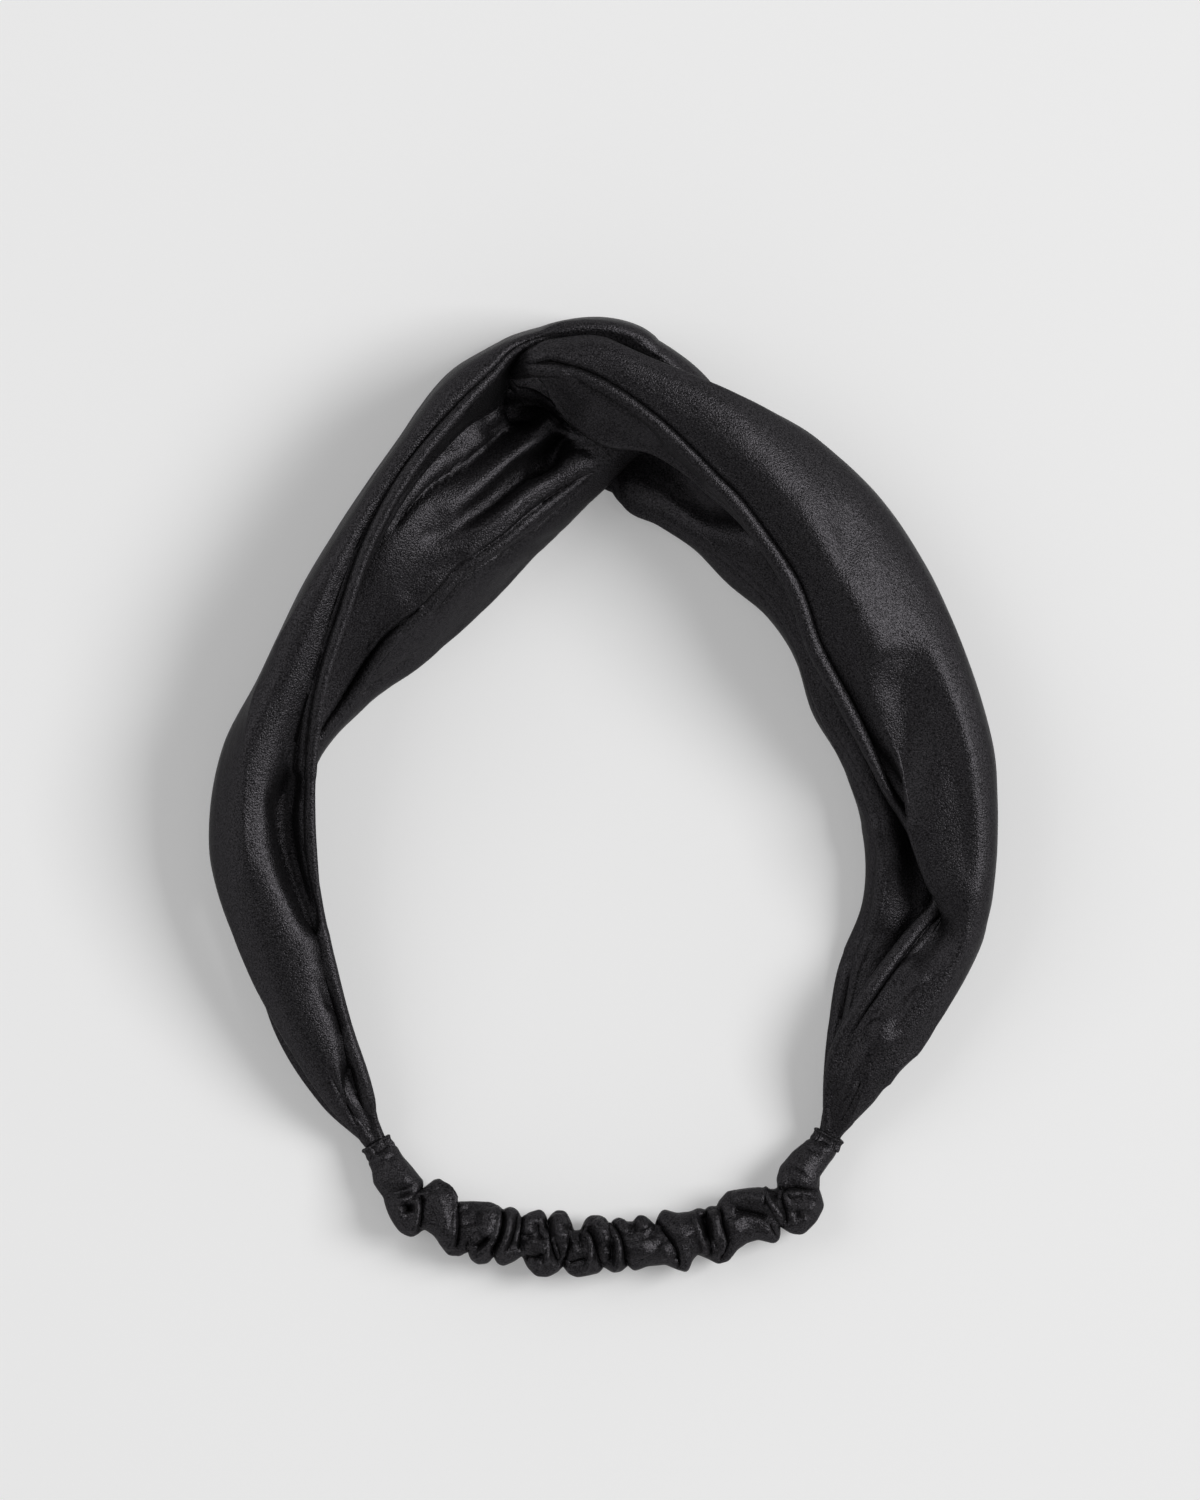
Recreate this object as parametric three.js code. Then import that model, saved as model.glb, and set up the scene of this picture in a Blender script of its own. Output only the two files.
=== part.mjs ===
// A satin twist headwrap lying in an open ring. Two wide sewn strips are each folded in half and hooked
// through one another at the front. The two ends of each strip are gathered into a stitched collar at
// the back, and a ruched casing with an elastic band inside it closes the ring between the collars.
// Millimetres, +Z up. The wrap lies on z = 0, its front is at +Y and the origin is under its middle.
import * as THREE from "three";

// The ring
const ringWidth = 164; // left to right over the cloth
const ringLength = 200; // front to back over the cloth
const bandHeight = 34; // table to the top of the twist
const clothWall = 1.0; // a strip is two layers of satin, sewn and turned

// The collars where a strip's two ends are gathered and sewn to the casing
const collarWidth = 8.2;
const collarHeight = 8.6;
const collarLength = 3.2;
const collarWall = 0.9;
const collarSquareness = 0.5; // 1 is an oval, 0 a rectangle
const collarSides = 20;

// The ruched casing and the elastic inside it
const casingReach = 7.0; // from the middle of the casing to a full ruffle
const casingHeight = 12.0; // table to the top of the ruffles
const casingNotch = 0.74; // a notch between ruffles, as a share of the ruffles beside it
const casingMouth = 4.0; // radius at the collars
const casingWall = 1.0;
const elasticWidth = 4.6;
const elasticThickness = 1.0;
const elasticSeat = 1.0; // how far its ends reach into the collars

// Cloth that comes nearer to the table than this is pressed flat on it
const pressDepth = 0.3;

// Clearances
const seatGap = 0.3; // between pieces that are sewn together
const plyGap = 0.5; // between the two gathered ends in a collar

// How finely the cloth is divided
const stepsAcross = 2; // for each pair of neighbouring lines of a strip
const stepsAlong = 2; // for each pair of neighbouring sections of a strip
const stepsPerRuffle = 4;
const casingSides = 12;
const elasticSteps = 24;

// Where the collars sit on the ring, and which way the cloth runs through them into the casing.
// at: degrees round the ring, reach: share of the ring's half size, side: +1 where outwards is to the left.
const leftJoint = { at: 232, reach: 0.928, heading: -59, side: -1 };
const rightJoint = { at: 308.7, reach: 0.9165, heading: 243, side: 1 };

// Lengthwise lines of a strip, from one sewn edge to the other.
const lines = ["hem", "rim", "dip", "crest", "brow", "flank", "foot", "tuck"];

// Sections of the strips. Each line has its reach from the ring's middle and its height over the table,
// as shares of the ring's half size and of the band's height.
// The left strip's upper ply, from the left collar to the twist.
const leftUpperPly = [
  { at: 222, hem: [0.827, 0.27], rim: [0.833, 0.36], dip: [0.862, 0.31], crest: [0.888, 0.39],
    brow: [0.925, 0.36], flank: [0.947, 0.27], foot: [0.93, 0.2], tuck: [0.88, 0.19] },
  { at: 210, hem: [0.776, 0.37], rim: [0.782, 0.45], dip: [0.802, 0.43], crest: [0.825, 0.5],
    brow: [0.9, 0.51], flank: [0.953, 0.36], foot: [0.945, 0.25], tuck: [0.9, 0.23] },
  { at: 198, hem: [0.749, 0.45], rim: [0.755, 0.54], dip: [0.786, 0.48], crest: [0.82, 0.6],
    brow: [0.91, 0.6], flank: [0.975, 0.4], foot: [0.97, 0.27], tuck: [0.95, 0.25] },
  { at: 186, hem: [0.75, 0.5], rim: [0.742, 0.62], dip: [0.8, 0.49], crest: [0.865, 0.66],
    brow: [0.92, 0.68], flank: [0.999, 0.36], foot: [0.985, 0], tuck: [0.955, 0] },
  { at: 174, hem: [0.745, 0.56], rim: [0.738, 0.7], dip: [0.79, 0.59], crest: [0.85, 0.72],
    brow: [0.907, 0.74], flank: [0.966, 0.4], foot: [0.955, 0], tuck: [0.9, 0] },
  { at: 162, hem: [0.752, 0.66], rim: [0.745, 0.8], dip: [0.775, 0.73], crest: [0.83, 0.8],
    brow: [0.872, 0.78], flank: [0.893, 0.42], foot: [0.885, 0], tuck: [0.84, 0] },
  { at: 150, hem: [0.765, 0.74], rim: [0.762, 0.86], dip: [0.79, 0.79], crest: [0.825, 0.86],
    brow: [0.852, 0.82], flank: [0.876, 0.44], foot: [0.87, 0], tuck: [0.83, 0] },
  { at: 138, hem: [0.785, 0.78], rim: [0.805, 0.9], dip: [0.825, 0.84], crest: [0.843, 0.88],
    brow: [0.86, 0.8], flank: [0.873, 0.44], foot: [0.87, 0], tuck: [0.83, 0] },
  { at: 126, hem: [0.818, 0.8], rim: [0.845, 0.91], dip: [0.865, 0.86], crest: [0.878, 0.87],
    brow: [0.89, 0.78], flank: [0.9, 0.44], foot: [0.898, 0], tuck: [0.86, 0] },
  { at: 114, hem: [0.892, 0.78], rim: [0.905, 0.85], dip: [0.92, 0.87], crest: [0.937, 0.87],
    brow: [0.953, 0.77], flank: [0.963, 0.44], foot: [0.96, 0], tuck: [0.92, 0] },
  { at: 102, hem: [0.954, 0.68], rim: [0.957, 0.75], dip: [0.963, 0.79], crest: [0.972, 0.8],
    brow: [0.981, 0.74], flank: [0.989, 0.42], foot: [0.985, 0], tuck: [0.958, 0] },
  { at: 90, hem: [0.955, 0.64], rim: [0.96, 0.7], dip: [0.968, 0.74], crest: [0.979, 0.76],
    brow: [0.99, 0.69], flank: [0.998, 0.42], foot: [0.99, 0.06], tuck: [0.965, 0.03] },
  { at: 81, hem: [0.918, 0.65], rim: [0.924, 0.69], dip: [0.933, 0.71], crest: [0.944, 0.7],
    brow: [0.954, 0.63], flank: [0.96, 0.42], foot: [0.956, 0.22], tuck: [0.945, 0.15] },
  { at: 73, hem: [0.877, 0.66], rim: [0.882, 0.65], dip: [0.889, 0.62], crest: [0.897, 0.58],
    brow: [0.905, 0.51], flank: [0.912, 0.42], foot: [0.908, 0.28], tuck: [0.9, 0.18] },
];

// The left strip's fold, which turns back round the right strip inside the twist.
const leftFold = [
  { at: 65.5, hem: [0.832, 0.63], rim: [0.834, 0.61], dip: [0.836, 0.57], crest: [0.838, 0.51],
    brow: [0.839, 0.43], flank: [0.839, 0.34], foot: [0.837, 0.25], tuck: [0.834, 0.18] },
  { at: 64, hem: [0.776, 0.62], rim: [0.776, 0.6], dip: [0.776, 0.56], crest: [0.776, 0.5],
    brow: [0.776, 0.42], flank: [0.776, 0.33], foot: [0.776, 0.25], tuck: [0.776, 0.18] },
];

// The left strip's lower ply, from the twist back to the left collar.
const leftLowerPly = [
  { at: 72, hem: [0.727, 0.6], rim: [0.724, 0.58], dip: [0.72, 0.54], crest: [0.714, 0.48],
    brow: [0.707, 0.41], flank: [0.701, 0.33], foot: [0.699, 0.25], tuck: [0.703, 0.19] },
  { at: 81, hem: [0.735, 0.55], rim: [0.731, 0.53], dip: [0.722, 0.5], crest: [0.708, 0.45],
    brow: [0.692, 0.38], flank: [0.674, 0.29], foot: [0.674, 0.2], tuck: [0.692, 0.16] },
  { at: 90, hem: [0.762, 0.5], rim: [0.75, 0.51], dip: [0.728, 0.5], crest: [0.703, 0.5],
    brow: [0.68, 0.42], flank: [0.65, 0.25], foot: [0.652, 0.14], tuck: [0.68, 0.12] },
  { at: 102, hem: [0.825, 0.48], rim: [0.795, 0.57], dip: [0.735, 0.42], crest: [0.68, 0.55],
    brow: [0.632, 0.52], flank: [0.575, 0.25], foot: [0.57, 0], tuck: [0.63, 0.01] },
  { at: 114, hem: [0.87, 0.58], rim: [0.8, 0.68], dip: [0.695, 0.52], crest: [0.648, 0.6],
    brow: [0.595, 0.58], flank: [0.53, 0.28], foot: [0.523, 0], tuck: [0.59, 0] },
  { at: 126, hem: [0.845, 0.68], rim: [0.76, 0.71], dip: [0.69, 0.6], crest: [0.65, 0.6],
    brow: [0.597, 0.58], flank: [0.512, 0.28], foot: [0.503, 0], tuck: [0.57, 0] },
  { at: 138, hem: [0.825, 0.68], rim: [0.745, 0.66], dip: [0.685, 0.58], crest: [0.645, 0.56],
    brow: [0.6, 0.55], flank: [0.523, 0.28], foot: [0.514, 0], tuck: [0.58, 0] },
  { at: 150, hem: [0.82, 0.62], rim: [0.745, 0.56], dip: [0.685, 0.47], crest: [0.645, 0.44],
    brow: [0.603, 0.45], flank: [0.56, 0.24], foot: [0.552, 0], tuck: [0.62, 0] },
  { at: 162, hem: [0.835, 0.52], rim: [0.775, 0.46], dip: [0.73, 0.36], crest: [0.695, 0.31],
    brow: [0.668, 0.29], flank: [0.642, 0.16], foot: [0.642, 0], tuck: [0.7, 0] },
  { at: 174, hem: [0.86, 0.38], rim: [0.815, 0.37], dip: [0.785, 0.32], crest: [0.762, 0.27],
    brow: [0.745, 0.21], flank: [0.735, 0.12], foot: [0.74, 0], tuck: [0.79, 0] },
  { at: 186, hem: [0.9, 0.22], rim: [0.87, 0.28], dip: [0.835, 0.27], crest: [0.805, 0.25],
    brow: [0.78, 0.18], flank: [0.768, 0.1], foot: [0.772, 0], tuck: [0.82, 0] },
  { at: 198, hem: [0.942, 0.07], rim: [0.92, 0.14], dip: [0.875, 0.17], crest: [0.835, 0.16],
    brow: [0.805, 0.12], flank: [0.788, 0.07], foot: [0.793, 0], tuck: [0.84, 0] },
  { at: 210, hem: [0.968, 0.03], rim: [0.94, 0.1], dip: [0.895, 0.12], crest: [0.855, 0.12],
    brow: [0.825, 0.1], flank: [0.805, 0.06], foot: [0.81, 0], tuck: [0.86, 0] },
  { at: 222, hem: [0.962, 0.03], rim: [0.94, 0.09], dip: [0.905, 0.11], crest: [0.875, 0.11],
    brow: [0.852, 0.09], flank: [0.84, 0.05], foot: [0.846, 0], tuck: [0.885, 0] },
];

// The right strip's upper ply, from the right collar to the twist.
const rightUpperPly = [
  { at: 318, hem: [0.79, 0.24], rim: [0.79, 0.34], dip: [0.83, 0.32], crest: [0.86, 0.36],
    brow: [0.9, 0.34], flank: [0.928, 0.27], foot: [0.918, 0.2], tuck: [0.87, 0.19] },
  { at: 330, hem: [0.785, 0.28], rim: [0.785, 0.4], dip: [0.83, 0.39], crest: [0.87, 0.44],
    brow: [0.93, 0.42], flank: [0.968, 0.31], foot: [0.962, 0.22], tuck: [0.945, 0.2] },
  { at: 342, hem: [0.84, 0.28], rim: [0.846, 0.36], dip: [0.895, 0.32], crest: [0.915, 0.46],
    brow: [0.965, 0.52], flank: [1.005, 0.32], foot: [0.995, 0], tuck: [0.965, 0] },
  { at: 348, hem: [0.815, 0.29], rim: [0.82, 0.37], dip: [0.88, 0.36], crest: [0.835, 0.5],
    brow: [0.955, 0.58], flank: [1.002, 0.36], foot: [0.992, 0], tuck: [0.95, 0] },
  { at: 354, hem: [0.775, 0.34], rim: [0.78, 0.42], dip: [0.835, 0.42], crest: [0.795, 0.55],
    brow: [0.935, 0.64], flank: [0.992, 0.38], foot: [0.985, 0], tuck: [0.93, 0] },
  { at: 360, hem: [0.722, 0.4], rim: [0.727, 0.49], dip: [0.768, 0.47], crest: [0.768, 0.6],
    brow: [0.915, 0.68], flank: [0.988, 0.4], foot: [0.98, 0], tuck: [0.92, 0] },
  { at: 366, hem: [0.683, 0.46], rim: [0.689, 0.56], dip: [0.72, 0.5], crest: [0.742, 0.64],
    brow: [0.9, 0.72], flank: [0.985, 0.42], foot: [0.975, 0], tuck: [0.91, 0] },
  { at: 378, hem: [0.615, 0.54], rim: [0.628, 0.67], dip: [0.654, 0.56], crest: [0.7, 0.73],
    brow: [0.85, 0.81], flank: [0.95, 0.42], foot: [0.943, 0], tuck: [0.88, 0] },
  { at: 390, hem: [0.62, 0.6], rim: [0.628, 0.75], dip: [0.665, 0.7], crest: [0.76, 0.86],
    brow: [0.87, 0.82], flank: [0.942, 0.44], foot: [0.932, 0], tuck: [0.87, 0] },
  { at: 402, hem: [0.645, 0.66], rim: [0.655, 0.82], dip: [0.69, 0.78], crest: [0.77, 0.91],
    brow: [0.86, 0.86], flank: [0.93, 0.46], foot: [0.92, 0], tuck: [0.86, 0] },
  { at: 414, hem: [0.668, 0.71], rim: [0.68, 0.87], dip: [0.715, 0.84], crest: [0.78, 0.95],
    brow: [0.86, 0.9], flank: [0.918, 0.5], foot: [0.91, 0.08], tuck: [0.86, 0.03] },
  { at: 421, hem: [0.678, 0.72], rim: [0.695, 0.9], dip: [0.73, 0.88], crest: [0.79, 0.97],
    brow: [0.86, 0.94], flank: [0.908, 0.62], foot: [0.902, 0.32], tuck: [0.875, 0.28] },
  { at: 427, hem: [0.69, 0.72], rim: [0.713, 0.92], dip: [0.75, 0.91], crest: [0.805, 0.98],
    brow: [0.87, 0.95], flank: [0.905, 0.8], foot: [0.9, 0.7], tuck: [0.882, 0.68] },
  { at: 433, hem: [0.708, 0.71], rim: [0.742, 0.94], dip: [0.775, 0.93], crest: [0.82, 0.98],
    brow: [0.875, 0.97], flank: [0.905, 0.87], foot: [0.895, 0.8], tuck: [0.87, 0.78] },
  { at: 441, hem: [0.73, 0.69], rim: [0.79, 0.97], dip: [0.82, 0.96], crest: [0.855, 0.99],
    brow: [0.893, 0.98], flank: [0.917, 0.9], foot: [0.905, 0.84], tuck: [0.88, 0.82] },
  { at: 450, hem: [0.738, 0.67], rim: [0.85, 0.98], dip: [0.88, 0.97], crest: [0.905, 0.985],
    brow: [0.93, 0.98], flank: [0.95, 0.94], foot: [0.956, 0.88], tuck: [0.948, 0.83] },
  { at: 457, hem: [0.8, 0.68], rim: [0.89, 0.94], dip: [0.91, 0.95], crest: [0.927, 0.95],
    brow: [0.94, 0.94], flank: [0.95, 0.91], foot: [0.957, 0.87], tuck: [0.96, 0.82] },
  { at: 462, hem: [0.87, 0.7], rim: [0.887, 0.78], dip: [0.9, 0.82], crest: [0.909, 0.83],
    brow: [0.917, 0.82], flank: [0.924, 0.8], foot: [0.93, 0.77], tuck: [0.934, 0.73] },
];

// The right strip's fold, which turns down and back under the left strip.
const rightFold = [
  { at: 464.5, hem: [0.872, 0.45], rim: [0.884, 0.48], dip: [0.897, 0.5], crest: [0.906, 0.5],
    brow: [0.914, 0.5], flank: [0.921, 0.49], foot: [0.927, 0.48], tuck: [0.932, 0.47] },
  { at: 461, hem: [0.842, 0.13], rim: [0.86, 0.13], dip: [0.875, 0.13], crest: [0.888, 0.13],
    brow: [0.899, 0.13], flank: [0.909, 0.13], foot: [0.917, 0.13], tuck: [0.924, 0.13] },
];

// The right strip's lower ply, from the twist back to the right collar.
const rightLowerPly = [
  { at: 452, hem: [0.72, 0.01], rim: [0.745, 0.01], dip: [0.775, 0.01], crest: [0.8, 0.01],
    brow: [0.83, 0.01], flank: [0.86, 0.01], foot: [0.89, 0], tuck: [0.915, 0.01] },
  { at: 444, hem: [0.632, 0], rim: [0.641, 0.02], dip: [0.655, 0.06], crest: [0.675, 0.09],
    brow: [0.71, 0.09], flank: [0.765, 0.06], foot: [0.83, 0], tuck: [0.88, 0.01] },
  { at: 436, hem: [0.606, 0], rim: [0.6, 0.04], dip: [0.598, 0.1], crest: [0.613, 0.17],
    brow: [0.64, 0.18], flank: [0.69, 0.1], foot: [0.76, 0], tuck: [0.82, 0.01] },
  { at: 426, hem: [0.64, 0], rim: [0.588, 0], dip: [0.576, 0.12], crest: [0.594, 0.26],
    brow: [0.622, 0.3], flank: [0.655, 0.24], foot: [0.69, 0.11], tuck: [0.73, 0.03] },
  { at: 414, hem: [0.62, 0], rim: [0.568, 0], dip: [0.556, 0.14], crest: [0.583, 0.34],
    brow: [0.622, 0.47], flank: [0.662, 0.52], foot: [0.702, 0.46], tuck: [0.73, 0.34] },
  { at: 402, hem: [0.635, 0], rim: [0.582, 0], dip: [0.571, 0.15], crest: [0.59, 0.34],
    brow: [0.622, 0.45], flank: [0.665, 0.5], foot: [0.715, 0.48], tuck: [0.76, 0.4] },
  { at: 390, hem: [0.64, 0], rim: [0.587, 0], dip: [0.576, 0.15], crest: [0.59, 0.33],
    brow: [0.615, 0.42], flank: [0.655, 0.45], foot: [0.705, 0.45], tuck: [0.76, 0.38] },
  { at: 378, hem: [0.635, 0], rim: [0.582, 0], dip: [0.571, 0.14], crest: [0.586, 0.3],
    brow: [0.612, 0.4], flank: [0.65, 0.42], foot: [0.7, 0.42], tuck: [0.76, 0.36] },
  { at: 366, hem: [0.69, 0], rim: [0.64, 0], dip: [0.631, 0.15], crest: [0.642, 0.3],
    brow: [0.665, 0.36], flank: [0.705, 0.35], foot: [0.76, 0.34], tuck: [0.82, 0.28] },
  { at: 354, hem: [0.73, 0], rim: [0.682, 0], dip: [0.674, 0.13], crest: [0.7, 0.27],
    brow: [0.742, 0.28], flank: [0.79, 0.2], foot: [0.84, 0.16], tuck: [0.89, 0.12] },
  { at: 342, hem: [0.755, 0], rim: [0.711, 0], dip: [0.704, 0.1], crest: [0.73, 0.21],
    brow: [0.775, 0.21], flank: [0.825, 0.15], foot: [0.87, 0.11], tuck: [0.912, 0.06] },
  { at: 330, hem: [0.76, 0], rim: [0.71, 0], dip: [0.702, 0.06], crest: [0.73, 0.13],
    brow: [0.78, 0.15], flank: [0.84, 0.13], foot: [0.9, 0.09], tuck: [0.945, 0.03] },
  { at: 318, hem: [0.82, 0], rim: [0.782, 0], dip: [0.776, 0.05], crest: [0.8, 0.1],
    brow: [0.84, 0.11], flank: [0.88, 0.1], foot: [0.915, 0.08], tuck: [0.94, 0.03] },
];

// The casing's line from the left collar to the right one, between the two joints.
const casingRoute = [
  { at: 240, reach: 0.984 },
  { at: 246, reach: 0.974 },
  { at: 254, reach: 0.95 },
  { at: 266.5, reach: 0.934 },
  { at: 279, reach: 0.936 },
  { at: 288.5, reach: 0.948 },
  { at: 294.4, reach: 0.955 },
  { at: 299.1, reach: 0.955 },
];

// Ruffles in order. along: share of the casing's length; inner, outer and top: reach from its middle as
// shares of the full reach; lean: how far the ruffle's outer side runs ahead, as a share of the length.
const ruffles = [
  { along: 0.065, inner: 0.72, outer: 0.6, top: 0.7, lean: 0.0 },
  { along: 0.128, inner: 0.62, outer: 0.86, top: 0.7, lean: -0.01 },
  { along: 0.193, inner: 1.12, outer: 1.04, top: 1.0, lean: 0.012 },
  { along: 0.262, inner: 0.82, outer: 0.98, top: 0.9, lean: 0.008 },
  { along: 0.322, inner: 0.84, outer: 0.8, top: 0.86, lean: -0.008 },
  { along: 0.384, inner: 0.9, outer: 1.0, top: 0.96, lean: 0.004 },
  { along: 0.443, inner: 0.92, outer: 0.96, top: 0.9, lean: 0.02 },
  { along: 0.508, inner: 0.84, outer: 0.82, top: 0.92, lean: 0.018 },
  { along: 0.549, inner: 0.72, outer: 0.8, top: 0.8, lean: 0.014 },
  { along: 0.59, inner: 0.72, outer: 0.7, top: 0.8, lean: 0.012 },
  { along: 0.65, inner: 0.74, outer: 1.0, top: 0.96, lean: 0.008 },
  { along: 0.722, inner: 0.68, outer: 0.96, top: 0.84, lean: 0.006 },
  { along: 0.79, inner: 0.88, outer: 0.78, top: 0.96, lean: -0.006 },
  { along: 0.85, inner: 0.56, outer: 0.98, top: 0.8, lean: 0.008 },
  { along: 0.898, inner: 0.56, outer: 0.9, top: 0.76, lean: 0.0 },
  { along: 0.945, inner: 0.66, outer: 0.62, top: 0.7, lean: 0.0 },
];

const satin = new THREE.MeshStandardMaterial({ color: 0x1b1b1d, roughness: 0.42, metalness: 0 });
const collarSatin = new THREE.MeshStandardMaterial({ color: 0x1d1d1f, roughness: 0.5, metalness: 0 });
const elasticKnit = new THREE.MeshStandardMaterial({ color: 0x161617, roughness: 0.9, metalness: 0 });

// A point of the ring: degrees round it, share of its half size, and height of the cloth's middle surface.
function onRing(at, reach, z) {
  const angle = THREE.MathUtils.degToRad(at);
  return new THREE.Vector3(
    (Math.cos(angle) * reach * ringWidth) / 2,
    (Math.sin(angle) * reach * ringLength) / 2,
    z,
  );
}

// A section of a strip as points, one for each line.
function sectionOf(row) {
  return lines.map((line) => {
    const [reach, height] = row[line];
    return onRing(row.at, reach, clothWall / 2 + height * (bandHeight - clothWall));
  });
}

// A collar's own frame: ahead runs into the casing, outward points away from the ring's middle.
function frameOf(joint) {
  const angle = THREE.MathUtils.degToRad(joint.heading);
  const ahead = new THREE.Vector3(Math.cos(angle), Math.sin(angle), 0);
  const outward = new THREE.Vector3(-ahead.y, ahead.x, 0).multiplyScalar(joint.side);
  return { middle: onRing(joint.at, joint.reach, collarHeight / 2), ahead, outward };
}

function inFrame(frame, along, out, up) {
  return frame.middle
    .clone()
    .addScaledVector(frame.ahead, along)
    .addScaledVector(frame.outward, out)
    .add(new THREE.Vector3(0, 0, up));
}

// The gathered end of a ply in a collar: a flattened C whose back is at one side of the bore.
// tier: +1 for the upper ply and -1 for the lower; back: +1 where the C's back is outwards.
function gathered(joint, tier, back, along) {
  const frame = frameOf(joint);
  const halfWidth = collarWidth / 2 - collarWall - seatGap - clothWall / 2;
  const tierHeight = (collarHeight - 2 * collarWall - 2 * seatGap - plyGap) / 2;
  const middle = (tier * (tierHeight + plyGap)) / 2;
  const halfHeight = (tierHeight - clothWall) / 2;
  const outline = [
    [-0.9, 0.4],
    [-0.7, 0.95],
    [-0.25, 1],
    [0.2, 1],
    [0.7, 0.85],
    [0.95, 0],
    [0.65, -0.85],
    [-0.1, -1],
  ];
  return outline.map(([out, up]) =>
    inFrame(frame, along, back * out * halfWidth, middle + up * halfHeight),
  );
}

// Both ends of a strip: inside the collar and at its mouth.
function gatheredEnd(joint, tier, back) {
  const inside = collarLength / 2 - seatGap - elasticSeat;
  return [gathered(joint, tier, back, inside), gathered(joint, tier, back, -collarLength / 2)];
}

// A grid of points through the sections: smooth across each section and then along the strip.
function gridThrough(sections) {
  const fine = sections.map((points) => {
    const curve = new THREE.CatmullRomCurve3(points);
    return curve.getPoints((points.length - 1) * stepsAcross);
  });
  const columns = fine[0].map((_, j) => {
    const curve = new THREE.CatmullRomCurve3(fine.map((points) => points[j]));
    return curve.getPoints((sections.length - 1) * stepsAlong);
  });
  const onTable = (point) => point.setZ(Math.max(point.z, clothWall / 2));
  return columns[0].map((_, i) => columns.map((column) => onTable(column[i])));
}

// The normal of a grid at one of its points, from its neighbours.
function normalAt(grid, i, j) {
  const last = grid.length - 1;
  const lastAcross = grid[0].length - 1;
  const along = grid[Math.min(i + 1, last)][j].clone().sub(grid[Math.max(i - 1, 0)][j]);
  const across = grid[i][Math.min(j + 1, lastAcross)].clone().sub(grid[i][Math.max(j - 1, 0)]);
  return along.cross(across).normalize();
}

// A closed solid from two grids of the same size, the first on the side that the normals point to.
// A tube's grids are closed across; the rims at their ends, or round a sheet, join the two.
function solidBetween(upper, lower, closedAcross) {
  const rows = upper.length;
  const columns = upper[0].length;
  const pressed = (z) => (z < pressDepth ? 0 : z);
  const positions = [
    ...upper.flat().flatMap((p) => [p.x, p.y, p.z]),
    ...lower.flat().flatMap((p) => [p.x, p.y, pressed(p.z)]),
  ];
  const index = [];
  const top = (i, j) => i * columns + (j % columns);
  const under = (i, j) => rows * columns + top(i, j);
  const quad = (a, b, c, d) => index.push(a, b, c, a, c, d);
  const spans = closedAcross ? columns : columns - 1;
  for (let i = 0; i < rows - 1; i++) {
    for (let j = 0; j < spans; j++) {
      quad(top(i, j), top(i + 1, j), top(i + 1, j + 1), top(i, j + 1));
      quad(under(i, j), under(i, j + 1), under(i + 1, j + 1), under(i + 1, j));
    }
  }
  for (let j = 0; j < spans; j++) {
    quad(top(0, j), top(0, j + 1), under(0, j + 1), under(0, j));
    quad(top(rows - 1, j + 1), top(rows - 1, j), under(rows - 1, j), under(rows - 1, j + 1));
  }
  if (!closedAcross) {
    for (let i = 0; i < rows - 1; i++) {
      quad(top(i + 1, 0), top(i, 0), under(i, 0), under(i + 1, 0));
      const j = columns - 1;
      quad(top(i, j), top(i + 1, j), under(i + 1, j), under(i, j));
    }
  }
  const geometry = new THREE.BufferGeometry();
  geometry.setAttribute("position", new THREE.Float32BufferAttribute(positions, 3));
  geometry.setIndex(index);
  return geometry;
}

// A strip of cloth with its wall's thickness, half on each side of the grid.
function clothSolid(sections) {
  const grid = gridThrough(sections);
  const shifted = (distance) =>
    grid.map((row, i) =>
      row.map((point, j) => point.clone().addScaledVector(normalAt(grid, i, j), distance)),
    );
  return solidBetween(shifted(clothWall / 2), shifted(-clothWall / 2), false);
}

function leftStrip() {
  return clothSolid([
    ...gatheredEnd(leftJoint, 1, 1),
    ...[...leftUpperPly, ...leftFold, ...leftLowerPly].map(sectionOf),
    ...gatheredEnd(leftJoint, -1, -1).reverse(),
  ]);
}

function rightStrip() {
  const lowerEnd = gatheredEnd(rightJoint, -1, -1).map((points) => points.reverse());
  return clothSolid([
    ...gatheredEnd(rightJoint, 1, 1),
    ...[...rightUpperPly, ...rightFold, ...rightLowerPly].map(sectionOf),
    ...lowerEnd.reverse(),
  ]);
}

// A collar: an oval ring round the gathered ends.
function collar(joint) {
  const frame = frameOf(joint);
  const squared = (x) => Math.sign(x) * Math.abs(x) ** collarSquareness;
  const ring = (halfWidth, halfHeight) =>
    [-collarLength / 2, collarLength / 2].map((along) =>
      Array.from({ length: collarSides }, (_, k) => {
        const turn = (-joint.side * 2 * Math.PI * k) / collarSides;
        const out = squared(Math.cos(turn)) * halfWidth;
        return inFrame(frame, along, out, squared(Math.sin(turn)) * halfHeight);
      }),
    );
  const outer = ring(collarWidth / 2, collarHeight / 2);
  const inner = ring(collarWidth / 2 - collarWall, collarHeight / 2 - collarWall);
  return solidBetween(outer, inner, true);
}

// The middle line of the casing and the elastic, level with the collars at its ends.
function casingLine() {
  const start = frameOf(leftJoint);
  const end = frameOf(rightJoint);
  const route = casingRoute.map(({ at, reach }) => onRing(at, reach, casingHeight / 2));
  const straight = 1.2 * collarLength; // how far it runs straight out of a collar
  return new THREE.CatmullRomCurve3([
    start.middle,
    inFrame(start, straight, 0, 0),
    ...route,
    inFrame(end, straight, 0, 0),
    end.middle,
  ]);
}

// Stations along the casing's line, with their outward direction in the plane of the ring.
function stationsOf(line, shares) {
  return shares.map((share) => {
    const middle = line.getPointAt(share);
    const ahead = line.getTangentAt(share).setZ(0).normalize();
    return { middle, outward: new THREE.Vector3(ahead.y, -ahead.x, 0), share };
  });
}

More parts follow.
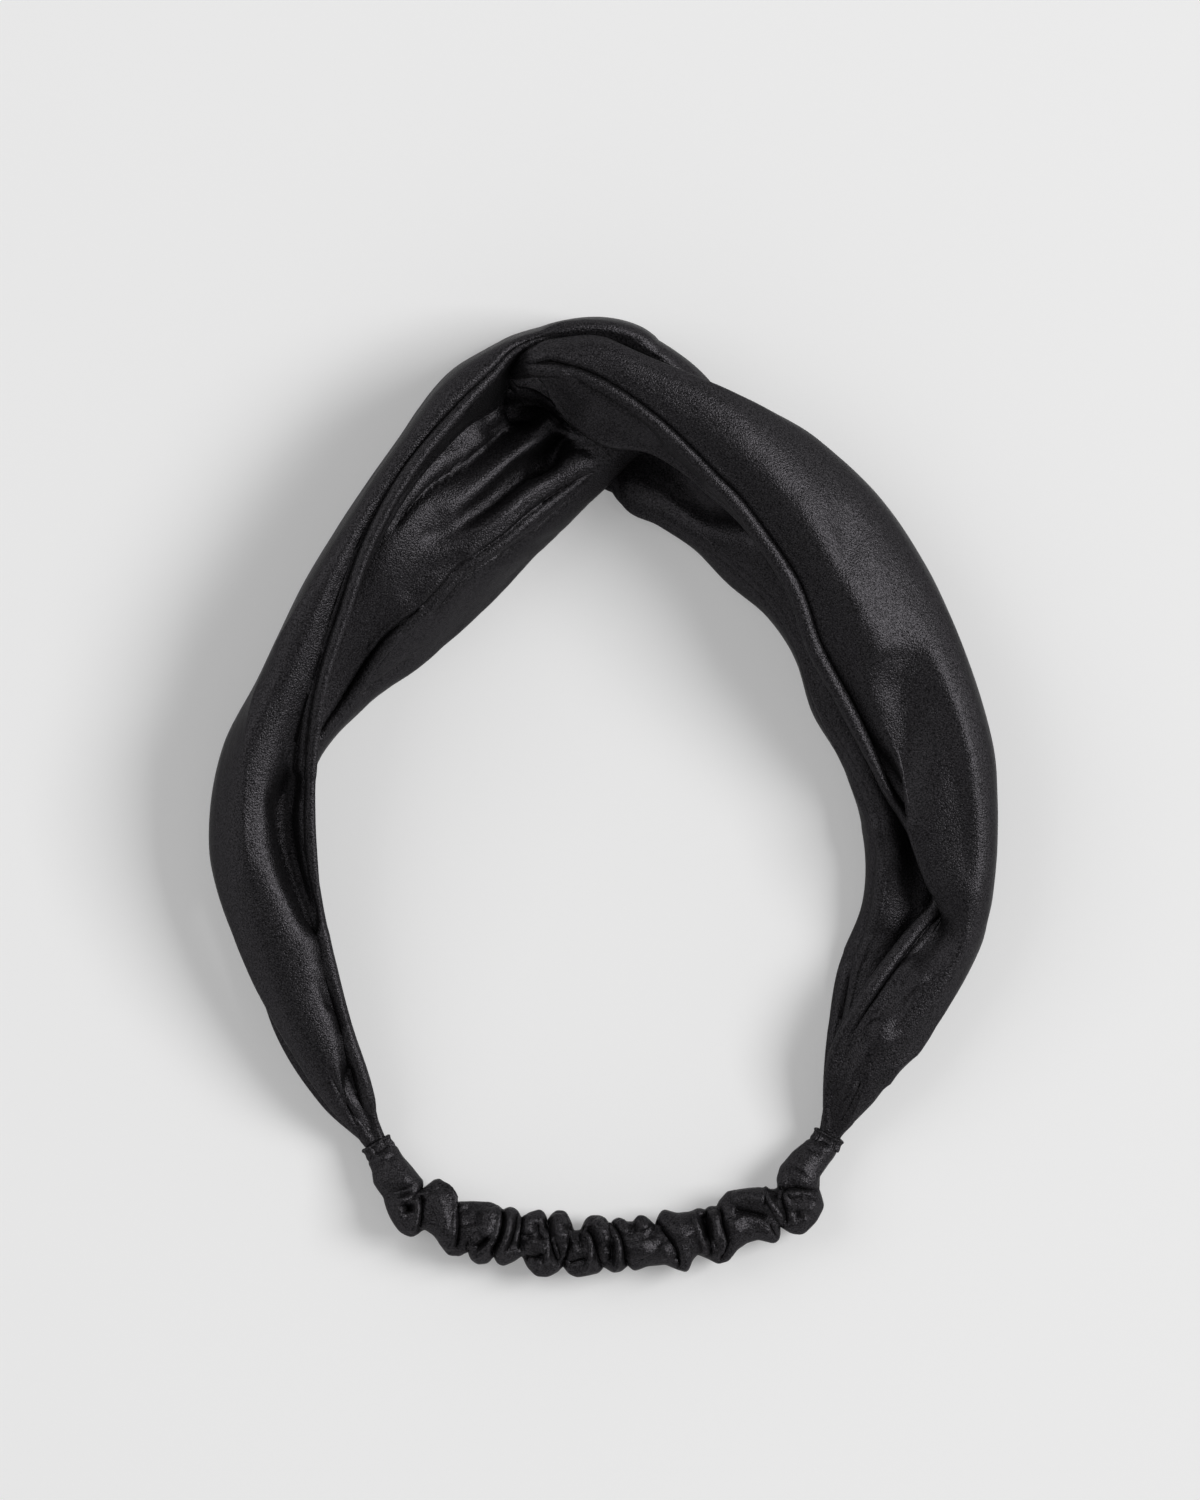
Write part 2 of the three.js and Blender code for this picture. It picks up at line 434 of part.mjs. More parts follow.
// How far the casing reaches from its line at a share of its length, in the direction of a turn
// round it: 0 is outwards, a quarter turn is up.
function casingReachAt(share, turn, mouthShare) {
  const outwards = Math.cos(turn);
  const sideways = Math.abs(outwards);
  const reachOf = (ruffle) => {
    const side = outwards > 0 ? ruffle.outer : ruffle.inner;
    return casingReach * (side * sideways ** 2 + ruffle.top * (1 - sideways ** 2));
  };
  const places = ruffles.map((ruffle) => ruffle.along + ruffle.lean * outwards);
  let next = places.findIndex((place) => place > share);
  if (next < 0) next = ruffles.length;
  const before = ruffles[Math.max(next - 1, 0)];
  const after = ruffles[Math.min(next, ruffles.length - 1)];
  const from = next > 0 ? places[next - 1] : mouthShare;
  const to = next < ruffles.length ? places[next] : 1 - mouthShare;
  const low = next > 0 ? reachOf(before) : casingMouth;
  const high = next < ruffles.length ? reachOf(after) : casingMouth;
  const t = THREE.MathUtils.clamp((share - from) / (to - from), 0, 1);
  const straight = low + (high - low) * t;
  const atMouth = next === 0 || next === ruffles.length;
  const notch = atMouth ? 0 : (1 - casingNotch) * Math.sin(Math.PI * t) ** 2;
  return straight * (1 - notch);
}

function casing() {
  const line = casingLine();
  const mouth = (collarLength / 2 + seatGap) / line.getLength();
  const stops = [mouth, ...ruffles.map((ruffle) => ruffle.along), 1 - mouth];
  const shares = stops
    .slice(1)
    .flatMap((stop, k) =>
      Array.from(
        { length: stepsPerRuffle },
        (_, n) => stops[k] + ((stop - stops[k]) * n) / stepsPerRuffle,
      ),
    );
  const stations = stationsOf(line, [...shares, 1 - mouth]);
  const grid = (inset) =>
    stations.map(({ middle, outward, share }) =>
      Array.from({ length: casingSides }, (_, k) => {
        const turn = (2 * Math.PI * k) / casingSides;
        const reach = casingReachAt(share, turn, mouth) - inset;
        const floor = inset; // the wall's thickness where the casing lies on the table
        const point = middle
          .clone()
          .addScaledVector(outward, Math.cos(turn) * reach)
          .add(new THREE.Vector3(0, 0, Math.sin(turn) * reach));
        point.z = Math.max(point.z, floor);
        return point;
      }),
    );
  return solidBetween(grid(0), grid(casingWall), true);
}

// The elastic: a flat band on the casing's line, standing on its edge.
function elastic() {
  const line = casingLine();
  const seat = (collarLength / 2 - elasticSeat) / line.getLength();
  const shares = Array.from(
    { length: elasticSteps + 1 },
    (_, n) => seat + ((1 - 2 * seat) * n) / elasticSteps,
  );
  const stations = stationsOf(line, shares);
  const side = (sign) =>
    stations.map(({ middle, outward }) =>
      [-elasticWidth / 2, elasticWidth / 2].map((up) =>
        middle
          .clone()
          .addScaledVector(outward, (sign * elasticThickness) / 2)
          .add(new THREE.Vector3(0, 0, up)),
      ),
    );
  return solidBetween(side(1), side(-1), false);
}

function pieceOf(name, geometry, material) {
  const mesh = new THREE.Mesh(geometry, material);
  mesh.name = name;
  return mesh;
}

const headwrap = new THREE.Group();
headwrap.add(
  pieceOf("left_strip", leftStrip(), satin),
  pieceOf("right_strip", rightStrip(), satin),
  pieceOf("left_collar", collar(leftJoint), collarSatin),
  pieceOf("right_collar", collar(rightJoint), collarSatin),
  pieceOf("casing", casing(), satin),
  pieceOf("elastic_band", elastic(), elasticKnit),
);

// The origin is under the middle of the whole wrap.
const middleOfAll = new THREE.Box3().setFromObject(headwrap).getCenter(new THREE.Vector3());
headwrap.position.set(-middleOfAll.x, -middleOfAll.y, 0);

export default headwrap;
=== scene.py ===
# A black satin twist headwrap on a pale table: two hooked satin strips with stitched hems, their
# gathered collars and a ruched elastic casing, under a soft studio light from the right.
import bpy
import math
import numpy as np
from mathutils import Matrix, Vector, noise


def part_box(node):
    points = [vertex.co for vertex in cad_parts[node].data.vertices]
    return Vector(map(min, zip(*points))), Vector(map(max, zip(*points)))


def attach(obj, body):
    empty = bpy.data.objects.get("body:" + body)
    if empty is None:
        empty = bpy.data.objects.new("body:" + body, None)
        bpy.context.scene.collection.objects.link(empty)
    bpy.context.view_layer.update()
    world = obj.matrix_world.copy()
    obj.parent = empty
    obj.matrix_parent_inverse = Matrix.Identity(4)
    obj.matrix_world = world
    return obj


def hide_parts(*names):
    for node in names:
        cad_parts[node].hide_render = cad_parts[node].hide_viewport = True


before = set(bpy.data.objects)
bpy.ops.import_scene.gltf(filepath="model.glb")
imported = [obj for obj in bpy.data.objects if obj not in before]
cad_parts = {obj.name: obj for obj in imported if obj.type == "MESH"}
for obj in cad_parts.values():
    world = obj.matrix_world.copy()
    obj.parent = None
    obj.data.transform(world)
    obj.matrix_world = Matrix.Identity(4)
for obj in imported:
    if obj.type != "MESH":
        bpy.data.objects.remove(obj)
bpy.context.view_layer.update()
mm = 0.001
upright = np.array([0, 0, 1])
leastLength = 1e-12    # in place of nothing, to divide by

# the ring that the wrap lies in; heights are shares of tallest
ring = {
    "width": 164 * mm,
    "length": 200 * mm,
    "tallest": 34 * mm,
    "cloth": 1.0 * mm,
}
# the two collars: where they lie on the ring, which way the casing leaves them, and their outer side
leftJoint = {"at": 232, "reach": 0.928, "heading": -59, "side": -1}
rightJoint = {"at": 308.7, "reach": 0.9165, "heading": 243, "side": 1}


def deselectAll():
    for thing in bpy.context.selected_objects:
        thing.select_set(False)


def ringPlace(at, reach):
    angle = math.radians(at)
    x = math.cos(angle) * reach * ring["width"] / 2
    y = math.sin(angle) * reach * ring["length"] / 2
    return np.array([x, y])


def boxMiddle(node):
    low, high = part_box(node)
    return (np.array(low) + np.array(high)) / 2


# where the ring's own middle is in the frame, from the left collar
ringMiddle = boxMiddle("left_collar")[:2] - ringPlace(leftJoint["at"], leftJoint["reach"])


def onRing(at, reach, height):
    place = ringPlace(at, reach) + ringMiddle
    return [place[0], place[1], ring["cloth"] / 2 + height * (ring["tallest"] - ring["cloth"])]


# each row is a section of a strip: where it lies round the ring, in degrees, then (reach, height) of its
# lines: hem, rim, dip and crest, and under them brow, flank, foot and tuck
leftUpperPly = [
    (222, (0.827, 0.27), (0.833, 0.36), (0.862, 0.31), (0.888, 0.39),
     (0.925, 0.36), (0.947, 0.27), (0.93, 0.2), (0.88, 0.19)),
    (210, (0.776, 0.37), (0.782, 0.45), (0.802, 0.43), (0.825, 0.5),
     (0.9, 0.51), (0.953, 0.36), (0.945, 0.25), (0.9, 0.23)),
    (198, (0.749, 0.45), (0.755, 0.54), (0.786, 0.48), (0.82, 0.6),
     (0.91, 0.6), (0.975, 0.4), (0.97, 0.27), (0.95, 0.25)),
    (186, (0.75, 0.5), (0.742, 0.62), (0.8, 0.49), (0.865, 0.66),
     (0.92, 0.68), (0.999, 0.36), (0.985, 0), (0.955, 0)),
    (174, (0.745, 0.56), (0.738, 0.7), (0.79, 0.59), (0.85, 0.72),
     (0.907, 0.74), (0.966, 0.4), (0.955, 0), (0.9, 0)),
    (162, (0.752, 0.66), (0.745, 0.8), (0.775, 0.73), (0.83, 0.8),
     (0.872, 0.78), (0.893, 0.42), (0.885, 0), (0.84, 0)),
    (150, (0.757, 0.74), (0.753, 0.86), (0.788, 0.8), (0.825, 0.86),
     (0.855, 0.83), (0.876, 0.44), (0.87, 0), (0.83, 0)),
    (138, (0.778, 0.78), (0.79, 0.9), (0.822, 0.85), (0.843, 0.88),
     (0.862, 0.8), (0.874, 0.44), (0.87, 0), (0.83, 0)),
    (126, (0.81, 0.8), (0.832, 0.91), (0.86, 0.87), (0.878, 0.87),
     (0.892, 0.78), (0.9, 0.44), (0.898, 0), (0.86, 0)),
    (114, (0.85, 0.55), (0.88, 0.85), (0.907, 0.87), (0.932, 0.87),
     (0.953, 0.77), (0.963, 0.44), (0.96, 0), (0.92, 0)),
    (108, (0.862, 0.42), (0.916, 0.79), (0.938, 0.85), (0.953, 0.84),
     (0.968, 0.77), (0.976, 0.43), (0.973, 0), (0.94, 0)),
    (102, (0.949, 0.66), (0.957, 0.75), (0.963, 0.79), (0.972, 0.8),
     (0.981, 0.74), (0.989, 0.42), (0.985, 0), (0.958, 0)),
    (90, (0.955, 0.64), (0.96, 0.7), (0.968, 0.74), (0.979, 0.76),
     (0.99, 0.69), (0.998, 0.42), (0.99, 0.06), (0.965, 0.03)),
    (81, (0.918, 0.65), (0.924, 0.69), (0.933, 0.71), (0.944, 0.7),
     (0.954, 0.63), (0.96, 0.42), (0.956, 0.22), (0.945, 0.15)),
    (73, (0.877, 0.66), (0.882, 0.65), (0.889, 0.62), (0.897, 0.58),
     (0.905, 0.51), (0.912, 0.42), (0.908, 0.28), (0.9, 0.18)),
]
leftTurn = [
    (65.5, (0.832, 0.63), (0.834, 0.61), (0.836, 0.57), (0.838, 0.51),
     (0.839, 0.43), (0.839, 0.34), (0.837, 0.25), (0.834, 0.18)),
    (64, (0.776, 0.62), (0.776, 0.6), (0.776, 0.56), (0.776, 0.5),
     (0.776, 0.42), (0.776, 0.33), (0.776, 0.25), (0.776, 0.18)),
]
leftLowerPly = [
    (72, (0.745, 0.6), (0.742, 0.58), (0.739, 0.54), (0.735, 0.48),
     (0.73, 0.41), (0.726, 0.33), (0.724, 0.25), (0.727, 0.19)),
    (81, (0.8, 0.53), (0.79, 0.51), (0.777, 0.48), (0.763, 0.44),
     (0.75, 0.39), (0.738, 0.32), (0.737, 0.24), (0.75, 0.18)),
    (90, (0.762, 0.44), (0.75, 0.45), (0.728, 0.44), (0.703, 0.44),
     (0.68, 0.38), (0.65, 0.24), (0.652, 0.14), (0.68, 0.12)),
    (102, (0.88, 0.26), (0.795, 0.36), (0.735, 0.34), (0.68, 0.46),
     (0.622, 0.45), (0.577, 0.2), (0.57, 0), (0.63, 0)),
    (108, (0.905, 0.32), (0.84, 0.42), (0.735, 0.41), (0.668, 0.51),
     (0.602, 0.5), (0.555, 0.2), (0.545, 0), (0.61, 0)),
    (114, (0.925, 0.42), (0.85, 0.52), (0.705, 0.5), (0.65, 0.57),
     (0.584, 0.53), (0.532, 0.15), (0.523, 0), (0.59, 0)),
    (126, (0.87, 0.66), (0.79, 0.7), (0.692, 0.62), (0.65, 0.62),
     (0.582, 0.54), (0.515, 0.15), (0.503, 0), (0.57, 0)),
    (138, (0.825, 0.7), (0.75, 0.7), (0.683, 0.62), (0.645, 0.58),
     (0.587, 0.5), (0.525, 0.15), (0.514, 0), (0.58, 0)),
    (150, (0.82, 0.62), (0.745, 0.57), (0.7, 0.5), (0.675, 0.46),
     (0.628, 0.45), (0.565, 0.17), (0.552, 0), (0.62, 0)),
    (162, (0.835, 0.52), (0.775, 0.46), (0.73, 0.36), (0.695, 0.31),
     (0.668, 0.29), (0.642, 0.16), (0.642, 0), (0.7, 0)),
    (174, (0.86, 0.38), (0.815, 0.37), (0.785, 0.32), (0.762, 0.27),
     (0.745, 0.21), (0.735, 0.12), (0.74, 0), (0.79, 0)),
    (186, (0.9, 0.22), (0.87, 0.28), (0.835, 0.27), (0.805, 0.25),
     (0.78, 0.18), (0.768, 0.1), (0.772, 0), (0.82, 0)),
    (198, (0.942, 0.07), (0.92, 0.14), (0.875, 0.17), (0.835, 0.16),
     (0.805, 0.12), (0.788, 0.07), (0.793, 0), (0.84, 0)),
    (210, (0.968, 0.03), (0.94, 0.1), (0.895, 0.12), (0.855, 0.12),
     (0.825, 0.1), (0.805, 0.06), (0.81, 0), (0.86, 0)),
    (222, (0.962, 0.03), (0.94, 0.09), (0.905, 0.11), (0.875, 0.11),
     (0.852, 0.09), (0.84, 0.05), (0.846, 0), (0.885, 0)),
]
rightUpperPly = [
    (318, (0.79, 0.24), (0.79, 0.34), (0.83, 0.32), (0.86, 0.36),
     (0.9, 0.34), (0.928, 0.27), (0.918, 0.2), (0.87, 0.19)),
    (330, (0.785, 0.28), (0.785, 0.4), (0.83, 0.39), (0.87, 0.44),
     (0.93, 0.42), (0.968, 0.31), (0.962, 0.22), (0.945, 0.2)),
    (342, (0.838, 0.28), (0.844, 0.36), (0.893, 0.33), (0.93, 0.44),
     (0.967, 0.5), (1.005, 0.32), (0.995, 0), (0.965, 0)),
    (345.5, (0.868, 0.29), (0.876, 0.36), (0.912, 0.34), (0.886, 0.46),
     (0.958, 0.54), (1.004, 0.4), (0.994, 0), (0.958, 0)),
    (348, (0.858, 0.3), (0.866, 0.37), (0.905, 0.37), (0.845, 0.5),
     (0.948, 0.58), (1.001, 0.46), (0.992, 0), (0.95, 0)),
    (354, (0.795, 0.35), (0.802, 0.43), (0.85, 0.43), (0.79, 0.56),
     (0.915, 0.6), (0.992, 0.52), (0.985, 0), (0.93, 0)),
    (360, (0.724, 0.41), (0.73, 0.5), (0.775, 0.49), (0.758, 0.61),
     (0.89, 0.64), (0.985, 0.56), (0.98, 0), (0.92, 0)),
    (366, (0.685, 0.46), (0.692, 0.56), (0.722, 0.52), (0.745, 0.65),
     (0.872, 0.68), (0.979, 0.59), (0.975, 0), (0.91, 0)),
    (378, (0.632, 0.54), (0.641, 0.66), (0.668, 0.62), (0.715, 0.74),
     (0.85, 0.73), (0.953, 0.6), (0.943, 0), (0.88, 0)),
    (390, (0.61, 0.6), (0.617, 0.75), (0.65, 0.73), (0.745, 0.84),
     (0.865, 0.75), (0.942, 0.53), (0.932, 0), (0.87, 0)),
    (402, (0.64, 0.66), (0.648, 0.82), (0.682, 0.8), (0.765, 0.9),
     (0.862, 0.8), (0.93, 0.57), (0.92, 0), (0.86, 0)),
    (414, (0.664, 0.71), (0.672, 0.87), (0.708, 0.85), (0.785, 0.95),
     (0.863, 0.86), (0.918, 0.63), (0.91, 0.2), (0.86, 0.03)),
    (421, (0.678, 0.72), (0.695, 0.9), (0.73, 0.88), (0.79, 0.97),
     (0.858, 0.92), (0.908, 0.73), (0.902, 0.42), (0.875, 0.28)),
    (427, (0.69, 0.72), (0.713, 0.92), (0.75, 0.91), (0.805, 0.98),
     (0.87, 0.95), (0.905, 0.8), (0.9, 0.7), (0.882, 0.68)),
    (433, (0.708, 0.71), (0.742, 0.94), (0.775, 0.93), (0.82, 0.98),
     (0.875, 0.97), (0.905, 0.87), (0.895, 0.8), (0.87, 0.78)),
    (441, (0.73, 0.69), (0.79, 0.97), (0.82, 0.96), (0.855, 0.99),
     (0.893, 0.98), (0.917, 0.9), (0.905, 0.84), (0.88, 0.82)),
    (450, (0.738, 0.67), (0.85, 0.98), (0.88, 0.97), (0.905, 0.985),
     (0.93, 0.98), (0.95, 0.94), (0.956, 0.88), (0.948, 0.83)),
    (457, (0.8, 0.68), (0.89, 0.94), (0.91, 0.95), (0.927, 0.95),
     (0.94, 0.94), (0.95, 0.91), (0.957, 0.87), (0.96, 0.82)),
    (460.5, (0.893, 0.86), (0.9, 0.9), (0.91, 0.92), (0.92, 0.925),
     (0.93, 0.92), (0.94, 0.9), (0.948, 0.87), (0.953, 0.82)),
]
rightTurn = [
    (463.8, (0.903, 0.68), (0.907, 0.72), (0.911, 0.74), (0.916, 0.74),
     (0.921, 0.73), (0.926, 0.71), (0.931, 0.68), (0.935, 0.64)),
    (465.2, (0.89, 0.3), (0.896, 0.3), (0.902, 0.3), (0.908, 0.3),
     (0.913, 0.3), (0.918, 0.3), (0.923, 0.3), (0.928, 0.3)),
]
rightLowerPly = [
    (452, (0.662, 0.01), (0.7, 0.01), (0.74, 0.01), (0.775, 0.01),
     (0.81, 0.01), (0.845, 0.01), (0.88, 0), (0.915, 0.01)),
    (444, (0.63, 0), (0.617, 0.03), (0.61, 0.08), (0.632, 0.12),
     (0.67, 0.12), (0.72, 0.07), (0.79, 0), (0.86, 0.01)),
    (436, (0.606, 0), (0.597, 0.04), (0.593, 0.1), (0.61, 0.17),
     (0.645, 0.19), (0.69, 0.12), (0.76, 0.01), (0.82, 0.01)),
    (426, (0.64, 0), (0.588, 0), (0.576, 0.12), (0.594, 0.26),
     (0.622, 0.3), (0.655, 0.24), (0.69, 0.11), (0.73, 0.03)),
    (414, (0.62, 0), (0.568, 0), (0.556, 0.14), (0.583, 0.34),
     (0.622, 0.47), (0.662, 0.52), (0.702, 0.46), (0.73, 0.34)),
    (402, (0.635, 0), (0.582, 0), (0.571, 0.15), (0.59, 0.34),
     (0.622, 0.45), (0.665, 0.5), (0.715, 0.48), (0.76, 0.4)),
    (390, (0.64, 0), (0.587, 0), (0.576, 0.15), (0.59, 0.33),
     (0.615, 0.42), (0.655, 0.45), (0.705, 0.45), (0.76, 0.38)),
    (378, (0.635, 0), (0.582, 0), (0.571, 0.14), (0.586, 0.3),
     (0.612, 0.4), (0.65, 0.42), (0.7, 0.42), (0.76, 0.36)),
    (366, (0.69, 0), (0.64, 0), (0.631, 0.15), (0.642, 0.3),
     (0.662, 0.4), (0.7, 0.4), (0.76, 0.36), (0.82, 0.28)),
    (354, (0.73, 0), (0.682, 0), (0.674, 0.13), (0.7, 0.3),
     (0.742, 0.35), (0.79, 0.29), (0.84, 0.25), (0.89, 0.18)),
    (342, (0.755, 0), (0.711, 0), (0.704, 0.1), (0.73, 0.23),
     (0.775, 0.26), (0.825, 0.22), (0.87, 0.2), (0.912, 0.12)),
    (330, (0.76, 0), (0.71, 0), (0.702, 0.06), (0.73, 0.15),
     (0.78, 0.2), (0.84, 0.2), (0.9, 0.13), (0.945, 0.05)),
    (318, (0.82, 0), (0.782, 0), (0.776, 0.05), (0.8, 0.1),
     (0.84, 0.11), (0.88, 0.1), (0.915, 0.08), (0.94, 0.03)),
]

collar = {
    "width": 7.2 * mm,
    "height": 8.4 * mm,
    "length": 2.7 * mm,
    "wall": 0.7 * mm,
    "squareness": 0.6,
    "clearance": 0.25 * mm,
    "plyGap": 0.5 * mm,
    "clothReach": 0.2 * mm,    # how far past its middle the strips run
    "clothBefore": 0.2 * mm,    # and how far before it they are gathered
    "pleats": 17,
    "pleatDepth": 0.22 * mm,
    "pleatStart": 0.4,    # share of that depth at the strip's side
    "pleatWander": 7,
    "waveScale": 2,
    "lip": 0.35 * mm,
    "flare": [(0, 0), (0.05, 0.7), (0.14, 1), (0.28, 0.45), (0.45, 0.15), (0.6, 0.3), (0.85, 0.5), (1, 0.2)],
    "raggedTo": 0.14,    # share of its length that has a ragged edge
    "ragged": 0.1,
    "around": 160,
    "rings": 29,
}
# a ply inside a collar, hem to tuck, in shares of half its width and half its height
gatheredPly = [
    (-0.9, 0.4), (-0.7, 0.95), (-0.25, 1), (0.2, 1), (0.7, 0.85), (0.95, 0), (0.65, -0.85), (-0.1, -1),
]


def jointFrame(joint):
    angle = math.radians(joint["heading"])
    ahead = np.array([math.cos(angle), math.sin(angle), 0])
    outward = np.array([-ahead[1], ahead[0], 0]) * joint["side"]
    place = ringPlace(joint["at"], joint["reach"]) + ringMiddle
    return np.array([place[0], place[1], collar["height"] / 2]), ahead, outward


def gatheredEnd(joint, tier, back):
    middle, ahead, outward = jointFrame(joint)
    halfWidth = collar["width"] / 2 - collar["wall"] - collar["clearance"] - ring["cloth"] / 2
    inside = collar["height"] - 2 * collar["wall"] - 2 * collar["clearance"]
    tierHeight = (inside - collar["plyGap"]) / 2
    level = tier * (tierHeight + collar["plyGap"]) / 2
    halfHeight = (tierHeight - ring["cloth"]) / 2
    return [
        [
            middle + ahead * along + outward * back * out * halfWidth + upright * (level + up * halfHeight)
            for out, up in gatheredPly
        ]
        for along in (collar["clothReach"], -collar["length"] / 2 - collar["clothBefore"])
    ]


def sectionOf(row):
    at, *places = row
    return [onRing(at, *place) for place in places]


leastKnot = 1e-5


# a smooth curve through points at the given places, counted in points
def curveThrough(points, places):
    points = np.asarray(points, float)
    count = len(points)
    padded = np.concatenate([2 * points[:1] - points[1:2], points, 2 * points[-1:] - points[-2:-1]])
    start = np.clip(np.floor(places).astype(int), 0, count - 2)
    part = (places - start).reshape((-1,) + (1,) * (points.ndim - 1))
    p0, p1, p2, p3 = (padded[start + k] for k in range(4))

    def knot(a, b):
        return np.maximum(np.linalg.norm(b - a, axis=-1, keepdims=True) ** 0.5, leastKnot)

    d0, d1, d2 = knot(p0, p1), knot(p1, p2), knot(p2, p3)
    out = ((p1 - p0) / d0 - (p2 - p0) / (d0 + d1) + (p2 - p1) / d1) * d1
    into = ((p2 - p1) / d1 - (p3 - p1) / (d1 + d2) + (p3 - p2) / d2) * d1
    square = 3 * (p2 - p1) - 2 * out - into
    cube = 2 * (p1 - p2) + out + into
    return p1 + out * part + square * part**2 + cube * part**3


# places along a run of sections or lines so that the cells come out about one step long
def placesBetween(points, step, least):
    points = np.asarray(points, float)
    spans = np.linalg.norm(np.diff(points, axis=0), axis=-1)
    spans = spans.reshape(len(spans), -1).mean(axis=1)
    places = []
    for k, span in enumerate(spans):
        steps = max(least, int(round(span / step)))
        places += [k + n / steps for n in range(steps)]
    return np.array(places + [len(spans)])


strip = {
    "stepAlong": 1.05 * mm,
    "stepAcross": 0.8 * mm,
    "stepAtRims": 0.3 * mm,
    "fineSpans": (0, 1, 3, 4),    # the spans between lines, from the hem, that have the narrow steps
    "typical": 70,    # percentile of a span's widths that its steps follow
    "leastAcross": 4,
    "leastAlong": 5,
    "hemWidth": 2.3 * mm,
    "hemThick": 1.2 * mm,
    "hemRoundness": 0.6,
    "seamThick": 0.5 * mm,
    "seamOpens": 1.2,    # hem widths over which the plies part after the seam
    "bodyThick": 0.8 * mm,
    "edgeThick": 0.35 * mm,
    "gatheredThick": 0.7 * mm,    # at most, inside a collar
    "stitch": 2.3 * mm,    # between two puckers of a seam
    "ripple": 0.14 * mm,
    "calmEnds": 7 * mm,    # folds and ripples die away along this at a collar
    "calmRows": 1.2,    # and over so many rows at its turn
    "calmHem": 2.5 * mm,    # and folds beside the hem, to this share
    "calmHemShare": 0.15,
}
# the slight unevenness of the cloth: waves for each mm along it and across it, and their share
ripples = [
    {"along": 0.045, "across": 0.16, "seed": 3.7, "share": 1},
    {"along": 0.11, "across": 0.33, "seed": 9.1, "share": 0.5},
]
# the seam of a hem that lies on a strip, in widths of the hem, apart from its spread in mm
seam = {"at": 1.06, "spread": 0.42, "pucker": 0.25, "puffRise": 0.5, "puffFull": 1.5, "puffFade": 1.2}
# how far a fold reaches to each side, in widths, and the steps along its path
foldEnd = {"full": 2.5, "fade": 1.5, "leastTaper": 1e-3, "step": 1.5 * mm, "leastSteps": 2}
pixel = {"size": 0.2096 * mm, "middle": (602.5, 798)}    # of the photograph, and the ring's middle in it


def fromPhoto(points):
    points = np.asarray(points, float)
    return np.stack([
        (points[:, 0] - pixel["middle"][0]) * pixel["size"] + ringMiddle[0],
        (pixel["middle"][1] - points[:, 1]) * pixel["size"] + ringMiddle[1],
    ], axis=-1)


def normalsOf(grid):
    along = np.gradient(grid, axis=0)
    across = np.gradient(grid, axis=1)
    normal = np.cross(along, across)
    return normal / np.maximum(np.linalg.norm(normal, axis=-1, keepdims=True), leastLength)


# the cloth's thickness by the distance from a sewn edge: a round hem, the seam, then two plies
def thicknessAt(fromHem):
    w = fromHem / strip["hemWidth"]
    swell = np.sin(np.pi * np.clip(w, 0, 1)) ** strip["hemRoundness"]
    hem = strip["edgeThick"] + (strip["hemThick"] - strip["edgeThick"]) * swell
    parting = np.clip((w - 1) / strip["seamOpens"], 0, 1) ** 0.5
    beyond = strip["seamThick"] + (strip["bodyThick"] - strip["seamThick"]) * parting
    return np.where(w < 1, np.maximum(hem, strip["seamThick"]), beyond)


# the middle surface of a strip, with the row and the line at which each of its cells starts
def clothGrid(sections):
    sections = np.asarray(sections, float)
    spans = np.linalg.norm(np.diff(sections, axis=1), axis=-1)
    widths = np.percentile(spans, strip["typical"], axis=0)
    across = []
    for k, width in enumerate(widths):
        step = strip["stepAtRims"] if k in strip["fineSpans"] else strip["stepAcross"]
        steps = max(strip["leastAcross"], int(round(width / step)))
        across += [k + n / steps for n in range(steps)]
    across = np.array(across + [len(widths)])
    fine = np.stack([curveThrough(points, across) for points in sections])
    along = placesBetween(sections, strip["stepAlong"], strip["leastAlong"])
    grid = curveThrough(fine, along)
    grid[..., 2] = np.maximum(grid[..., 2], ring["cloth"] / 2)
    return grid, along, across


# distance of the grid's points from a path in plan, and how far along it they lie, as a share
def besidePath(grid, path):
    flat = grid[..., :2].reshape(-1, 2)
    best = np.full(len(flat), np.inf)
    along = np.zeros(len(flat))
    spans = np.linalg.norm(np.diff(path, axis=0), axis=-1)
    total = spans.sum()
    passed = 0
    for a, b, span in zip(path[:-1], path[1:], spans):
        ahead = (b - a) / span
        offset = flat - a
        t = np.clip(offset @ ahead, 0, span)
        distance = np.linalg.norm(offset - t[:, None] * ahead, axis=-1)
        nearer = distance < best
        best = np.where(nearer, distance, best)
        along = np.where(nearer, (passed + t) / total, along)
        passed += span
    return best.reshape(grid.shape[:2]), along.reshape(grid.shape[:2])


def smoothPath(points):
    points = fromPhoto(points)
    places = placesBetween(points[:, None, :], foldEnd["step"], foldEnd["leastSteps"])
    return curveThrough(points, places)


# a fold of the cloth: its height and width in mm, and its path in the photograph's pixels. On a strip it
# also has the rows that it lies on. Taper is the share of its path that it rises and dies away over.
def roundFold(height, width, path, rows=None, taper=(0.15, 0.15)):
    return {"sharp": False, "height": height, "width": width, "path": path, "rows": rows, "taper": taper}


def sharpFold(height, width, path, rows=None, taper=(0.15, 0.15)):
    return {**roundFold(height, width, path, rows, taper), "sharp": True}


def foldLift(grid, fold):
    distance, along = besidePath(grid, smoothPath(fold["path"]))
    width = fold["width"] * mm
    lift = np.exp(-distance / width) if fold["sharp"] else np.exp(-((distance / width) ** 2))
    start, stop = (max(share, foldEnd["leastTaper"]) for share in fold["taper"])
    ends = np.clip(along / start, 0, 1) * np.clip((1 - along) / stop, 0, 1)
    past = np.maximum(distance - foldEnd["full"] * width, 0)
    beyond = np.exp(-((past / (foldEnd["fade"] * width)) ** 2))
    return fold["height"] * mm * lift * np.sqrt(ends) * beyond


